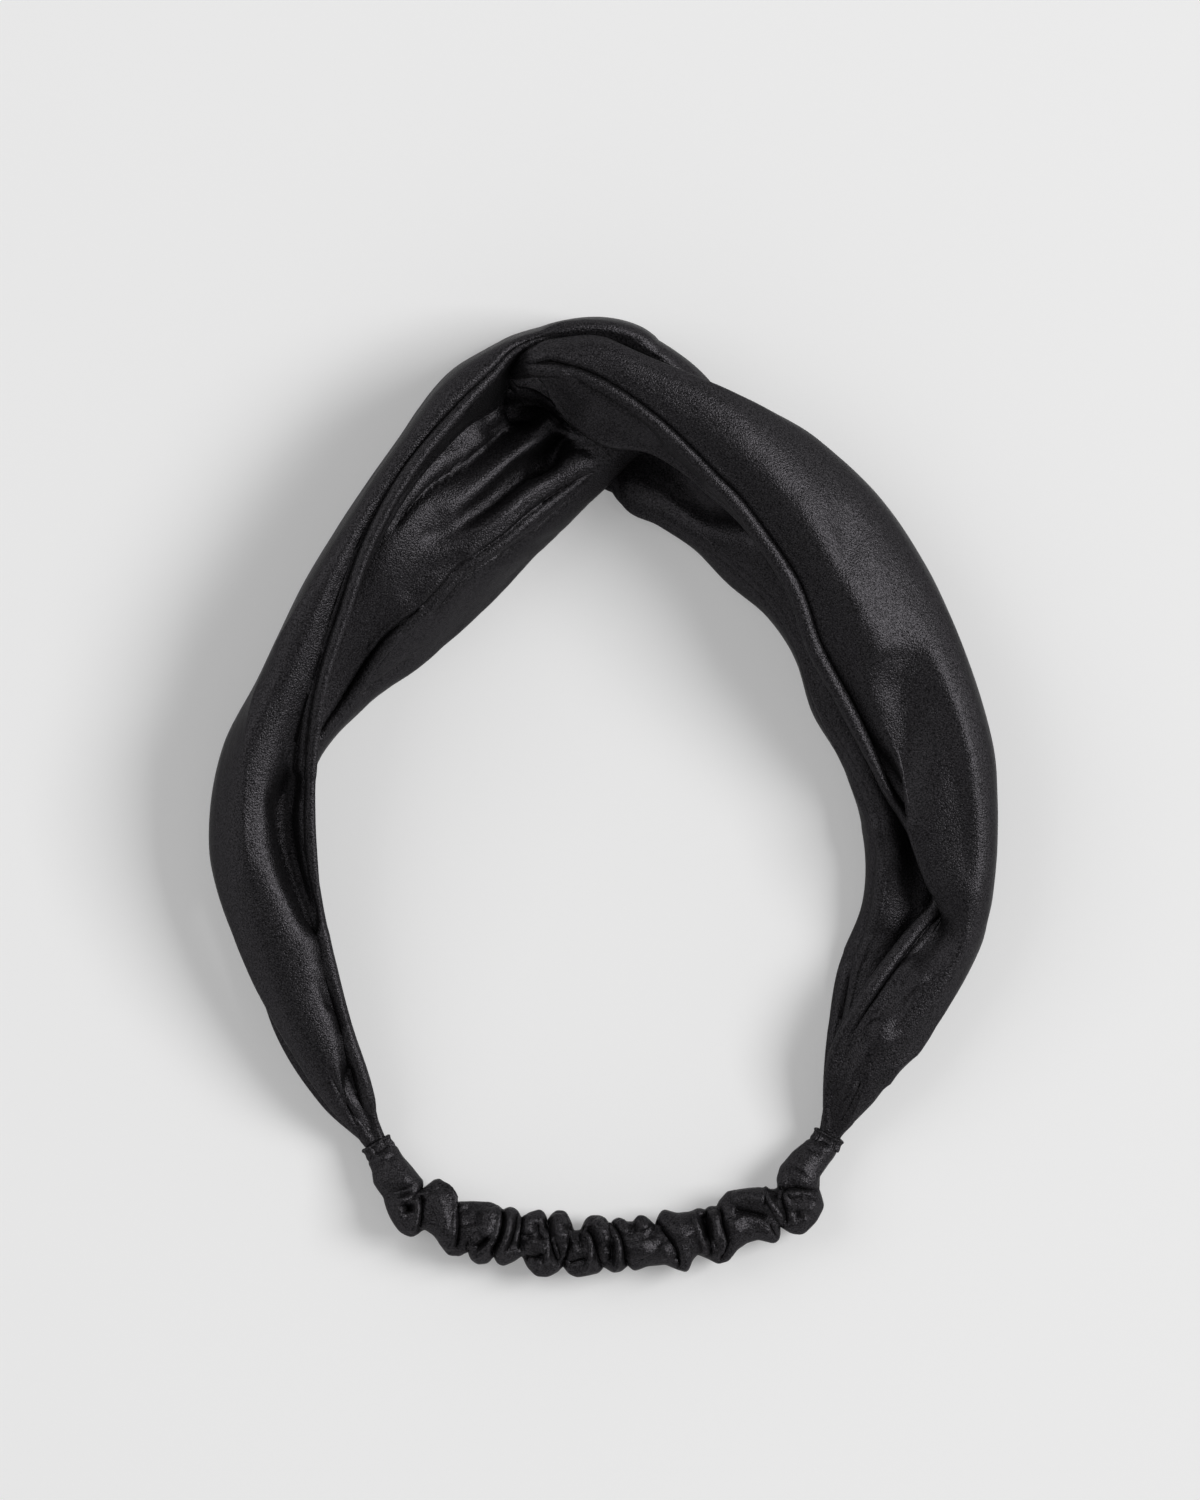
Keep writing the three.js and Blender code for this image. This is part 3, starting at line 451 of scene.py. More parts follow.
# a sewn hem laid flat along a line of the strip: a round bead, the groove of its seam, the puff past it
def hemLift(fromLine, along, bead):
    w = fromLine / (bead["width"] * mm)
    past = w - seam["at"]
    swell = np.sqrt(np.clip(1 - (2 * w - 1) ** 2, 0, 1)) * bead["height"] * mm
    pucker = 1 - seam["pucker"] + seam["pucker"] * np.cos(2 * np.pi * along / strip["stitch"])
    groove = -bead["groove"] * mm * pucker * np.exp(-((past * bead["width"] / seam["spread"]) ** 2))
    puff = bead["puff"] * mm * np.clip(past / seam["puffRise"], 0, 1)
    puff = puff * np.exp(-np.maximum(w - seam["puffFull"], 0) / seam["puffFade"])
    return swell + groove + puff * (past > 0)


def rippleLift(along, across):
    wave = 0
    for ripple in ripples:
        spot = Vector((along / mm * ripple["along"], across / mm * ripple["across"], ripple["seed"]))
        wave += ripple["share"] * noise.noise(spot)
    return strip["ripple"] * wave


def shellMesh(name, upper, lower, acrossClosed=False):
    rows, columns = upper.shape[:2]
    points = np.concatenate([upper.reshape(-1, 3), lower.reshape(-1, 3)])
    faces = []
    top = lambda i, j: i * columns + j % columns
    under = lambda i, j: rows * columns + top(i, j)
    spans = columns if acrossClosed else columns - 1
    for i in range(rows - 1):
        for j in range(spans):
            faces.append((top(i, j), top(i + 1, j), top(i + 1, j + 1), top(i, j + 1)))
            faces.append((under(i, j), under(i, j + 1), under(i + 1, j + 1), under(i + 1, j)))
    for j in range(spans):
        faces.append((top(0, j), top(0, j + 1), under(0, j + 1), under(0, j)))
        faces.append((top(rows - 1, j + 1), top(rows - 1, j), under(rows - 1, j), under(rows - 1, j + 1)))
    if not acrossClosed:
        j = columns - 1
        for i in range(rows - 1):
            faces.append((top(i + 1, 0), top(i, 0), under(i, 0), under(i + 1, 0)))
            faces.append((top(i, j), top(i + 1, j), under(i + 1, j), under(i, j)))
    mesh = bpy.data.meshes.new(name)
    mesh.from_pydata(points.tolist(), [], faces)
    mesh.update()
    mesh.shade_smooth()
    piece = bpy.data.objects.new(name, mesh)
    bpy.context.scene.collection.objects.link(piece)
    return piece


def makeStrip(name, sections, beads, folds, upperFace):
    grid, along, across = clothGrid(sections)
    normal = normalsOf(grid)
    widths = np.linalg.norm(np.diff(grid, axis=1), axis=-1)
    lengths = np.linalg.norm(np.diff(grid, axis=0), axis=-1)
    fromHem = np.concatenate([np.zeros((len(grid), 1)), np.cumsum(widths, axis=1)], axis=1)
    fromStart = np.concatenate([[0], np.cumsum(lengths.mean(axis=1))])
    rows = along[:, None] + 0 * across    # which row each point lies at
    lift = np.zeros(grid.shape[:2])
    for bead in beads:
        line = np.array([np.interp(bead["line"], across, reach) for reach in fromHem])[:, None]
        fromLine = (fromHem - line) * bead["side"] + bead["shift"] * mm
        weight = np.interp(rows, *zip(*bead["rows"]))
        lift += weight * hemLift(fromLine, fromStart[:, None] + 0 * fromHem, bead)
    besideHem = np.clip(fromHem / strip["calmHem"], strip["calmHemShare"], 1)
    for fold in folds:
        low, high = fold["rows"]
        within = (rows >= low) & (rows <= high)
        lift += np.where(within, foldLift(grid, fold), 0) * besideHem
    for i in range(len(grid)):
        for j in range(grid.shape[1]):
            lift[i, j] += rippleLift(fromStart[i], fromHem[i, j])
    fromEnds = np.minimum(fromStart, fromStart[-1] - fromStart)[:, None]
    calm = np.clip(fromEnds / strip["calmEnds"], 0, 1)
    face = np.where(rows < upperFace["turn"], upperFace["first"], upperFace["second"])
    still = np.clip((np.abs(rows - upperFace["turn"]) - strip["calmRows"]) / strip["calmRows"], 0, 1)
    grid = grid + normal * (lift * face * calm * still)[..., None]
    grid[..., 2] = np.maximum(grid[..., 2], ring["cloth"] / 2)
    normal = normalsOf(grid)
    fromEdge = np.minimum(fromHem, fromHem[:, -1:] - fromHem)
    thick = thicknessAt(fromEdge)
    thick = (thick * calm + np.minimum(thick, strip["gatheredThick"]) * (1 - calm))[..., None]
    upper = grid + normal * thick / 2
    lower = grid - normal * thick / 2
    for side in (upper, lower):
        side[..., 2] = np.maximum(side[..., 2], 0)
    piece = shellMesh(name, upper, lower)
    layer = piece.data.uv_layers.new(name="cloth")    # along it and across it, in metres
    columns = grid.shape[1]
    places = np.stack([np.repeat(fromStart, columns), fromHem.reshape(-1)], axis=-1)
    places = np.concatenate([places, places])
    corners = np.zeros(len(piece.data.loops), dtype=np.int32)
    piece.data.loops.foreach_get("vertex_index", corners)
    layer.data.foreach_set("uv", places[corners].astype(np.float32).ravel())
    length, width, widest = (round(float(size / mm)) for size in (
        fromStart[-1], fromHem[:, -1].mean(), fromHem[:, -1].max()))
    print(name, "cells", grid.shape[:2], "length mm", length, "width mm", width, "widest", widest)
    return piece


# rows are counted from the first end: two in the collar, then those of the tables in order. Lines are
# counted from the hem, 0. A bead lies to one side of its line, and fades in and out at its rows.
leftBeads = [
    {"line": 1, "side": 1, "shift": 0.5, "width": 2.5, "height": 0.7, "groove": 0.85, "puff": 0.45,
     "rows": [(2, 0), (3.5, 1), (12, 1), (14, 0.2), (18, 0)]},
    {"line": 4, "side": -1, "shift": 0.3, "width": 2.4, "height": 0.6, "groove": 1.2, "puff": 0.4,
     "rows": [(21, 0), (22, 1), (28, 1), (30, 0)]},
]
leftFolds = [
    # the upper ply: the long crease, the edge of its ridge and the valley beside the hem
    sharpFold(0.7, 1.0, rows=(2, 15), path=[(345, 545), (310, 600), (280, 650), (262, 690), (252, 730),
              (247, 780), (246, 830), (252, 890)]),
    sharpFold(0.9, 1.1, rows=(2, 15), path=[(266, 805), (275, 840), (290, 880), (305, 920), (315, 945),
              (327, 965), (332, 1000)]),
    roundFold(-2.3, 2.6, rows=(2, 15), path=[(300, 770), (284, 810), (290, 860), (306, 905), (317, 935)]),
    sharpFold(-1.0, 0.7, rows=(2, 15), taper=(0.3, 0.1), path=[(318, 975), (328, 1000), (332, 1012)]),
    roundFold(-1.8, 1.4, rows=(1, 15), taper=(0.2, 0.3), path=[(350, 1062), (350, 1085), (353, 1112),
              (362, 1122)]),
    roundFold(0.9, 1.6, rows=(1, 15), path=[(340, 1030), (360, 1070), (374, 1110)]),
    sharpFold(-0.9, 0.6, rows=(1, 15), path=[(352, 1108), (366, 1124), (376, 1138)]),
    sharpFold(-0.7, 0.7, rows=(1, 15), path=[(330, 1070), (350, 1115), (364, 1140)]),
    roundFold(0.9, 1.6, rows=(10, 17), path=[(545, 335), (590, 330), (630, 334), (655, 346)]),
    # the lower ply in the trough, from its outer side to its hem
    roundFold(-4.0, 6.5, rows=(19, 28), taper=(0, 0), path=[(555, 375), (505, 400)]),
    roundFold(-2.6, 2.8, rows=(19, 28), taper=(0.1, 0.3), path=[(530, 405), (505, 425), (486, 440)]),
    sharpFold(-3.0, 0.9, rows=(19, 28), taper=(0.02, 0.4), path=[(540, 412), (503, 439), (485, 452),
              (460, 470), (432, 489), (407, 514), (392, 532)]),
    roundFold(3.0, 2.7, rows=(19, 28), taper=(0.02, 0.6), path=[(556, 422), (520, 450), (503, 464),
              (470, 493), (440, 515)]),
    roundFold(-4.4, 2.2, rows=(19, 28), taper=(0.02, 0.6), path=[(566, 438), (547, 455), (525, 470),
              (504, 489), (485, 507), (462, 526)]),
    roundFold(-1.6, 2.8, rows=(19, 28), taper=(0.3, 0.3), path=[(562, 456), (545, 464), (530, 472)]),
    roundFold(-0.8, 1.6, rows=(19, 28), taper=(0.3, 0.4), path=[(470, 524), (448, 535), (420, 535)]),
    roundFold(1.8, 1.7, rows=(19, 28), taper=(0.05, 0.5), path=[(588, 455), (572, 466), (547, 482),
              (524, 497), (506, 512), (486, 526), (466, 536)]),
    roundFold(-1.1, 1.0, rows=(19, 28), path=[(441, 441), (455, 446), (466, 446)]),
    roundFold(-1.0, 1.2, rows=(19, 28), path=[(470, 402), (480, 412), (492, 416)]),
    roundFold(-0.8, 2.4, rows=(19, 29), path=[(470, 560), (430, 575), (405, 600)]),
    sharpFold(-1.1, 0.5, rows=(19, 28), taper=(0.1, 0.1), path=[(597, 472), (566, 504), (535, 532),
              (504, 554), (476, 570), (454, 590), (434, 617)]),
    sharpFold(-1.5, 0.9, rows=(19, 28), path=[(534, 538), (518, 549), (500, 561)]),
    sharpFold(-1.2, 0.6, rows=(22, 30), path=[(412, 658), (385, 678), (360, 697)]),
    sharpFold(0.5, 0.7, rows=(22, 30), path=[(368, 648), (385, 642), (402, 634)]),
]
rightBeads = [
    {"line": 1, "side": 1, "shift": 0.5, "width": 2.6, "height": 0.85, "groove": 0.95, "puff": 0.5,
     "rows": [(2, 0), (3, 1), (19.5, 1), (21, 0.6), (22, 0)]},
    {"line": 3.4, "side": -1, "shift": 0.6, "width": 2.4, "height": 0.35, "groove": 0.45, "puff": 0.15,
     "rows": [(24, 0), (26, 0.6), (29, 1), (36, 1), (38, 0)]},
]
rightFolds = [
    # the upper ply: the soft dip beside the fold-over, the bright crease and the folds towards the collar
    roundFold(-2.7, 5.5, rows=(2, 20), taper=(0.5, 0.4), path=[(888, 650), (901, 700), (905, 740), (902, 780),
              (893, 820)]),
    roundFold(0.9, 4.0, rows=(2, 20), taper=(0.3, 0.3), path=[(790, 500), (850, 600), (895, 680)]),
    roundFold(-0.8, 3.5, rows=(2, 20), taper=(0.4, 0.4), path=[(835, 505), (845, 540), (842, 580)]),
    roundFold(0.6, 3.0, rows=(2, 20), taper=(0.4, 0.4), path=[(900, 600), (930, 660), (940, 700)]),
    roundFold(1.3, 2.2, rows=(2, 20), taper=(0.4, 0.6), path=[(926, 640), (938, 670), (952, 705), (964, 745),
              (972, 790), (976, 836), (976, 880), (970, 920)]),
    roundFold(0.9, 2.6, rows=(2, 12), path=[(905, 960), (922, 985)]),
    roundFold(-0.7, 3.0, rows=(2, 12), path=[(885, 1000), (905, 1010)]),
    roundFold(0.9, 2.4, rows=(2, 12), path=[(872, 1020), (885, 1045)]),
    sharpFold(0.8, 0.8, rows=(1, 12), path=[(935, 1030), (920, 1045), (895, 1065), (880, 1090), (862, 1108)]),
    sharpFold(0.7, 0.8, rows=(1, 12), path=[(845, 1078), (856, 1090), (852, 1112), (838, 1130)]),
    sharpFold(-0.9, 0.6, rows=(1, 12), path=[(862, 1075), (852, 1100), (832, 1136)]),
    # the inner edge of the hem at the hook, and the flank under the twist
    sharpFold(-1.0, 0.45, rows=(10, 21), taper=(0.1, 0.4), path=[(534, 370), (547, 364), (562, 368),
              (576, 380), (592, 392), (610, 405), (636, 424), (652, 437), (660, 452)]),
    roundFold(0.8, 2.0, rows=(14, 22), path=[(562, 425), (600, 440), (650, 452)]),
    roundFold(-1.0, 3.0, rows=(14, 22), path=[(590, 415), (640, 440), (700, 490)]),
    # the lower ply: the bright edge across it and its hem
    sharpFold(0.6, 0.8, rows=(24, 38), path=[(800, 650), (815, 690), (845, 760), (862, 800), (882, 835)]),
    roundFold(0.8, 2.0, rows=(24, 38), path=[(870, 820), (892, 850), (884, 880), (880, 930)]),
    sharpFold(-1.2, 0.8, rows=(28, 40), path=[(850, 950), (846, 990), (838, 1030)]),
]


# turn is the row at which a strip is folded, and first and second say which side of its grid is up before
# and after it
leftEnds = gatheredEnd(leftJoint, 1, 1), gatheredEnd(leftJoint, -1, -1)[::-1]
rightEnds = gatheredEnd(rightJoint, 1, 1), [ply[::-1] for ply in gatheredEnd(rightJoint, -1, -1)][::-1]
leftRows = [sectionOf(row) for row in leftUpperPly + leftTurn + leftLowerPly]
rightRows = [sectionOf(row) for row in rightUpperPly + rightTurn + rightLowerPly]
leftStrip = makeStrip(
    "leftStrip", leftEnds[0] + leftRows + leftEnds[1],
    leftBeads, leftFolds, {"turn": 18, "first": 1, "second": 1},
)
rightStrip = makeStrip(
    "rightStrip", rightEnds[0] + rightRows + rightEnds[1],
    rightBeads, rightFolds, {"turn": 22, "first": -1, "second": 1},
)


# the ruched casing. Its route is angles and reaches on the ring. Its two sides are run through in plan:
# share of its length, and reach from its line in mm. The creases and ruffles over it are folds.
casing = {
    "route": [(240, 0.984), (246, 0.974), (254, 0.95), (266.5, 0.934), (279, 0.936), (288.5, 0.948),
              (294.4, 0.955), (299.1, 0.955)],
    "level": 6 * mm,
    "leaves": 4.3 * mm,    # the level of its line inside the collars
    "straight": 3.84 * mm,
    "samples": 3000,    # points on its line, and how many of them its heading is read over, each way
    "aheadBy": 8,
    "mouth": (2.45 * mm, 3.2 * mm),    # half width and half height inside a collar
    "mouthSquareness": 0.6,
    "tucked": 0.6 * mm,    # how far it reaches into a collar
    "neck": 1.3 * mm,    # along which it widens from its mouth
    "neckRoundness": 0.7,
    "thick": 0.7 * mm,
    "crown": 5.1 * mm,    # above its line at its full width, and less at a notch
    "crownLeast": 0.8,
    "crownGrows": 0.2,
    "crownMost": 1.15,
    "fullWidth": 11 * mm,
    "sole": 0.35 * mm,    # from its underside to the table
    "squareness": (0.95, 0.8),    # of its section, across and up
    "around": 116,
    "stepAlong": 0.27 * mm,
    "fullness": 1.7,    # of the folds that stand out
    "taper": (0.12, 0.12),
    "deepest": 2.7 * mm,    # that a fold sinks
    "calmEnds": 2 * mm,
    "calmUnder": 0.12,    # share of the folds on its underside
    "calmSides": (0.25, 1.6),    # share of them at its sides, and how fast it grows upwards
    "straightUp": 0.5,    # share of a fold's lift that goes up, and not along the cloth's normal
    "soften": (1, 2, 3, 2, 1),    # weights that smooth its two sides
}
# and the same for the crumpled cloth of the casing, in the frame
crumples = [
    {"height": 0.32 * mm, "scale": Vector((0.22, 0.22, 0.22))},
    {"height": 0.12 * mm, "scale": Vector((0.6, 0.6, 0.6))},
    {"height": 0.07 * mm, "scale": Vector((0.5, 1.6, 1))},
]
innerSide = [
    (0, 3.1), (0.03, 3.0), (0.056, 4.1), (0.088, 5.0), (0.104, 4.4), (0.112, 2.9), (0.116, 5.2),
    (0.13, 7.2), (0.152, 8.0), (0.185, 7.1), (0.2, 5.4), (0.207, 4.7), (0.24, 5.6), (0.277, 6.1),
    (0.297, 5.5), (0.303, 4.9), (0.317, 5.9), (0.33, 5.4), (0.341, 3.7), (0.355, 5.2), (0.376, 6.2),
    (0.388, 5.2), (0.392, 3.6), (0.398, 5.2), (0.409, 6.4), (0.425, 6.4), (0.437, 4.7), (0.444, 2.4),
    (0.464, 2.7), (0.469, 4.8), (0.48, 5.7), (0.498, 5.7), (0.51, 5.0), (0.517, 3.5), (0.526, 4.8),
    (0.538, 5.2), (0.549, 4.2), (0.566, 4.1), (0.577, 5.5), (0.59, 4.8), (0.608, 2.7), (0.617, 4.9),
    (0.628, 6.0), (0.653, 4.8), (0.68, 4.5), (0.7, 4.9), (0.71, 4.2), (0.722, 4.7), (0.738, 4.2),
    (0.745, 5.2), (0.769, 6.5), (0.801, 5.7), (0.835, 4.4), (0.86, 2.4), (0.872, 2.1), (0.885, 3.7),
    (0.908, 4.8), (0.948, 4.7), (0.975, 3.9), (1, 3.2),
]
outerSide = [
    (0, 3.2), (0.025, 3.4), (0.054, 4.2), (0.085, 3.4), (0.112, 4.3), (0.135, 5.3), (0.152, 5.0),
    (0.16, 3.0), (0.165, 2.4), (0.187, 3.0), (0.209, 5.0), (0.222, 6.1), (0.241, 5.5), (0.25, 3.4),
    (0.258, 5.7), (0.272, 6.6), (0.29, 6.1), (0.3, 4.0), (0.308, 5.7), (0.32, 6.1), (0.338, 4.8),
    (0.353, 3.2), (0.366, 5.6), (0.384, 7.2), (0.404, 7.1), (0.421, 5.9), (0.43, 4.3), (0.442, 6.1),
    (0.456, 6.7), (0.479, 6.2), (0.495, 5.8), (0.503, 4.4), (0.522, 5.8), (0.534, 5.6), (0.55, 4.4),
    (0.56, 5.7), (0.583, 4.9), (0.618, 4.9), (0.638, 6.3), (0.654, 7.3), (0.664, 5.1), (0.678, 3.9),
    (0.697, 5.4), (0.711, 6.9), (0.728, 6.9), (0.748, 5.1), (0.769, 4.4), (0.79, 4.7), (0.812, 6.9),
    (0.824, 6.5), (0.834, 3.6), (0.842, 6.6), (0.855, 8.3), (0.88, 8.0), (0.905, 7.0), (0.921, 4.2),
    (0.94, 2.4), (0.971, 2.3), (1, 2.8),
]
casingFolds = [
    # the long first ruffle and the pocket at its end
    roundFold(0.5, 1.6, [(392, 1158), (404, 1172), (410, 1184)]),
    roundFold(-0.8, 1.2, [(384, 1196), (398, 1191), (412, 1189)]),
    roundFold(-2.1, 1.1, [(408, 1202), (409, 1212)]),
    sharpFold(0.9, 0.5, [(414, 1195), (404, 1199), (401, 1208), (405, 1218)]),
    sharpFold(0.9, 0.5, [(417, 1196), (419, 1207), (417, 1220), (411, 1230)]),
    sharpFold(-2.2, 0.5, [(421, 1193), (422, 1207), (420, 1230)]),
    # the bell of the second, with its rolled edge
    roundFold(-0.8, 0.6, [(423, 1196), (424, 1202)]),
    roundFold(0.9, 1.6, [(436, 1190), (444, 1212), (446, 1238)]),
    sharpFold(1.3, 0.6, [(440, 1181), (449, 1190), (454, 1204), (455, 1220), (454, 1236), (449, 1248)]),
    sharpFold(-2.6, 0.45, [(456, 1198), (458, 1212), (458, 1230), (456, 1246)]),
    roundFold(-0.9, 0.9, [(450, 1252), (458, 1251)]),
    # the third, darker at its start, and the flap under it
    roundFold(-1.3, 2.0, [(463, 1206), (468, 1216), (470, 1226)]),
    roundFold(0.7, 1.5, [(488, 1208), (489, 1222), (484, 1234)]),
    sharpFold(1.1, 0.5, [(496, 1206), (499, 1217), (496, 1232), (488, 1245), (474, 1256)]),
    sharpFold(0.8, 0.4, [(463, 1251), (472, 1242), (481, 1236), (489, 1231)]),
    roundFold(-1.4, 0.8, [(476, 1246), (484, 1240), (490, 1234)]),
    sharpFold(-2.4, 0.45, [(501, 1205), (503, 1220), (499, 1236), (491, 1251)]),
    # three narrow ones in the middle
    sharpFold(1.0, 0.6, [(508, 1208), (510, 1222), (506, 1238), (499, 1254)]),
    sharpFold(-1.6, 0.4, [(517, 1213), (515, 1228), (510, 1242), (505, 1250)]),
    sharpFold(0.7, 0.4, [(520, 1217), (518, 1230), (514, 1243)]),
    sharpFold(-1.6, 0.5, [(523, 1218), (520, 1234), (520, 1250)]),
    roundFold(0.8, 1.2, [(530, 1216), (527, 1232)]),
    roundFold(-1.2, 0.8, [(537, 1220), (539, 1231), (543, 1240)]),
    sharpFold(0.9, 0.4, [(525, 1243), (534, 1240), (543, 1244), (544, 1251)]),
    sharpFold(-1.8, 0.5, [(524, 1254), (535, 1256), (545, 1253)]),
    sharpFold(0.8, 0.5, [(547, 1228), (548, 1246), (547, 1262)]),
    sharpFold(0.6, 0.5, [(540, 1258), (538, 1266)]),
    sharpFold(-2.5, 0.45, [(547, 1211), (549, 1230), (553, 1248), (560, 1264)]),
    # the sixth, pinched at its lower end
    roundFold(0.9, 1.1, [(557, 1214), (559, 1228), (562, 1240)]),
    roundFold(-0.9, 0.6, [(567, 1215), (568, 1222)]),
    sharpFold(0.8, 0.4, [(552, 1236), (556, 1248), (560, 1258)]),
    sharpFold(-1.2, 0.4, [(555, 1240), (559, 1251), (562, 1261)]),
    sharpFold(1.0, 0.4, [(564, 1230), (566, 1242), (563, 1254), (561, 1262)]),
    sharpFold(-2.4, 0.5, [(570, 1224), (569, 1238), (566, 1252), (563, 1264)]),
    # the low one
    roundFold(-1.0, 1.0, [(573, 1235), (581, 1234)]), sharpFold(0.6, 0.4, [(574, 1242), (577, 1252)]),
    roundFold(-0.6, 0.6, [(579, 1238), (582, 1248)]),
    sharpFold(-1.4, 0.5, [(568, 1263), (578, 1259), (588, 1257)]),
    sharpFold(1.1, 0.4, [(587, 1231), (591, 1243), (591, 1256), (584, 1269)]),
    sharpFold(-2.2, 0.45, [(586, 1226), (592, 1236), (596, 1250), (603, 1266)]),
    # the eighth, with a rolled edge
    roundFold(1.0, 1.2, [(594, 1221), (602, 1231), (606, 1244)]),
    roundFold(-0.8, 0.5, [(604, 1219), (606, 1223)]),
    roundFold(-1.2, 0.9, [(609, 1238), (612, 1252), (611, 1262)]),
    sharpFold(1.2, 0.5, [(606, 1223), (615, 1233), (619, 1246), (618, 1259), (614, 1268)]),
    sharpFold(-2.4, 0.45, [(610, 1220), (619, 1232), (623, 1246), (625, 1258), (629, 1266)]),
    # the broad ninth
    roundFold(0.6, 1.0, [(620, 1220), (627, 1232)]), roundFold(-0.5, 0.8, [(632, 1224), (633, 1234)]),
    roundFold(0.7, 1.0, [(640, 1217), (645, 1228)]), roundFold(0.6, 2.0, [(640, 1240), (646, 1254)]),
    roundFold(-0.9, 1.2, [(650, 1230), (658, 1236), (664, 1244)]),
    roundFold(0.5, 0.9, [(662, 1244), (667, 1256)]), roundFold(-0.8, 0.5, [(674, 1255), (677, 1259)]),
    sharpFold(-2.4, 0.45, [(657, 1222), (665, 1231), (673, 1242), (678, 1254), (680, 1266)]),
    # the tenth and its dark end
    roundFold(0.6, 2.2, [(672, 1220), (686, 1238)]),
    sharpFold(0.9, 0.5, [(692, 1212), (698, 1226), (703, 1240), (707, 1252)]),
    roundFold(-1.8, 0.9, [(702, 1212), (704, 1226), (707, 1238)]),
    sharpFold(-2.0, 0.4, [(706, 1208), (708, 1228), (711, 1254)]),
    # the narrow eleventh
    roundFold(0.7, 0.8, [(713, 1210), (716, 1226), (717, 1238)]),
    sharpFold(0.8, 0.4, [(717, 1210), (720, 1226), (724, 1240), (721, 1253)]),
    roundFold(-0.7, 0.6, [(714, 1240), (717, 1248)]),
    sharpFold(-2.4, 0.45, [(720, 1205), (722, 1224), (727, 1240), (724, 1252), (719, 1260)]),
    # the broad twelfth with a fold along it
    roundFold(0.8, 1.4, [(732, 1198), (750, 1195), (765, 1199)]),
    roundFold(-1.5, 0.8, [(733, 1208), (750, 1211), (768, 1216)]),
    roundFold(0.7, 1.6, [(732, 1218), (738, 1232)]),
    sharpFold(1.1, 0.5, [(764, 1188), (769, 1199), (776, 1209), (783, 1219)]),
    roundFold(-1.7, 0.9, [(773, 1192), (777, 1199)]),
    sharpFold(-1.3, 0.4, [(769, 1221), (773, 1230), (779, 1237)]),
    sharpFold(-2.2, 0.5, [(781, 1186), (782, 1200), (785, 1212), (786, 1224)]),
    # the thirteenth, and the long last one
    sharpFold(-2.3, 0.6, [(781, 1187), (795, 1187), (808, 1189), (824, 1188)]),
    sharpFold(0.7, 0.5, [(788, 1194), (800, 1191), (812, 1193)]),
    roundFold(-0.8, 0.9, [(788, 1199), (802, 1196)]), roundFold(0.9, 1.3, [(812, 1198), (808, 1210)]),
    roundFold(-1.0, 0.9, [(795, 1208), (799, 1218)]), sharpFold(0.6, 0.5, [(802, 1206), (804, 1222)]),
    roundFold(0.5, 1.8, [(798, 1168), (812, 1152)]), roundFold(-0.5, 1.0, [(786, 1178), (796, 1182)]),
]


def casingLine():
    start, end = jointFrame(leftJoint), jointFrame(rightJoint)
    route = []
    for at, reach in casing["route"]:
        place = ringPlace(at, reach) + ringMiddle
        route.append([place[0], place[1], casing["level"]])
    rise = upright * (casing["leaves"] - collar["height"] / 2)
    points = [start[0] + rise, start[0] + start[1] * casing["straight"] + rise] + route
    points += [end[0] + end[1] * casing["straight"] + rise, end[0] + rise]
    line = curveThrough(points, np.linspace(0, len(points) - 1, casing["samples"]))
    lengths = np.concatenate([[0], np.cumsum(np.linalg.norm(np.diff(line, axis=0), axis=-1))])
    return line, lengths


# places on the casing's line by their distance along it, and the level way out of the ring at each
def alongCasing(line, lengths, stations):
    at = np.interp(stations, lengths, np.arange(len(lengths)))
    counts = np.arange(len(line))
    spot = lambda places: np.stack([np.interp(places, counts, line[:, axis]) for axis in range(3)], axis=-1)
    ahead = spot(at + casing["aheadBy"]) - spot(at - casing["aheadBy"])
    ahead[:, 2] = 0
    ahead /= np.linalg.norm(ahead, axis=-1, keepdims=True)
    outward = np.stack([ahead[:, 1], -ahead[:, 0], np.zeros(len(ahead))], axis=-1)
    return spot(at), outward


def signedPower(value, power):
    return np.sign(value) * np.abs(value) ** power


def crumpleLift(place):
    return sum(crumple["height"] * noise.noise(place * crumple["scale"]) for crumple in crumples)


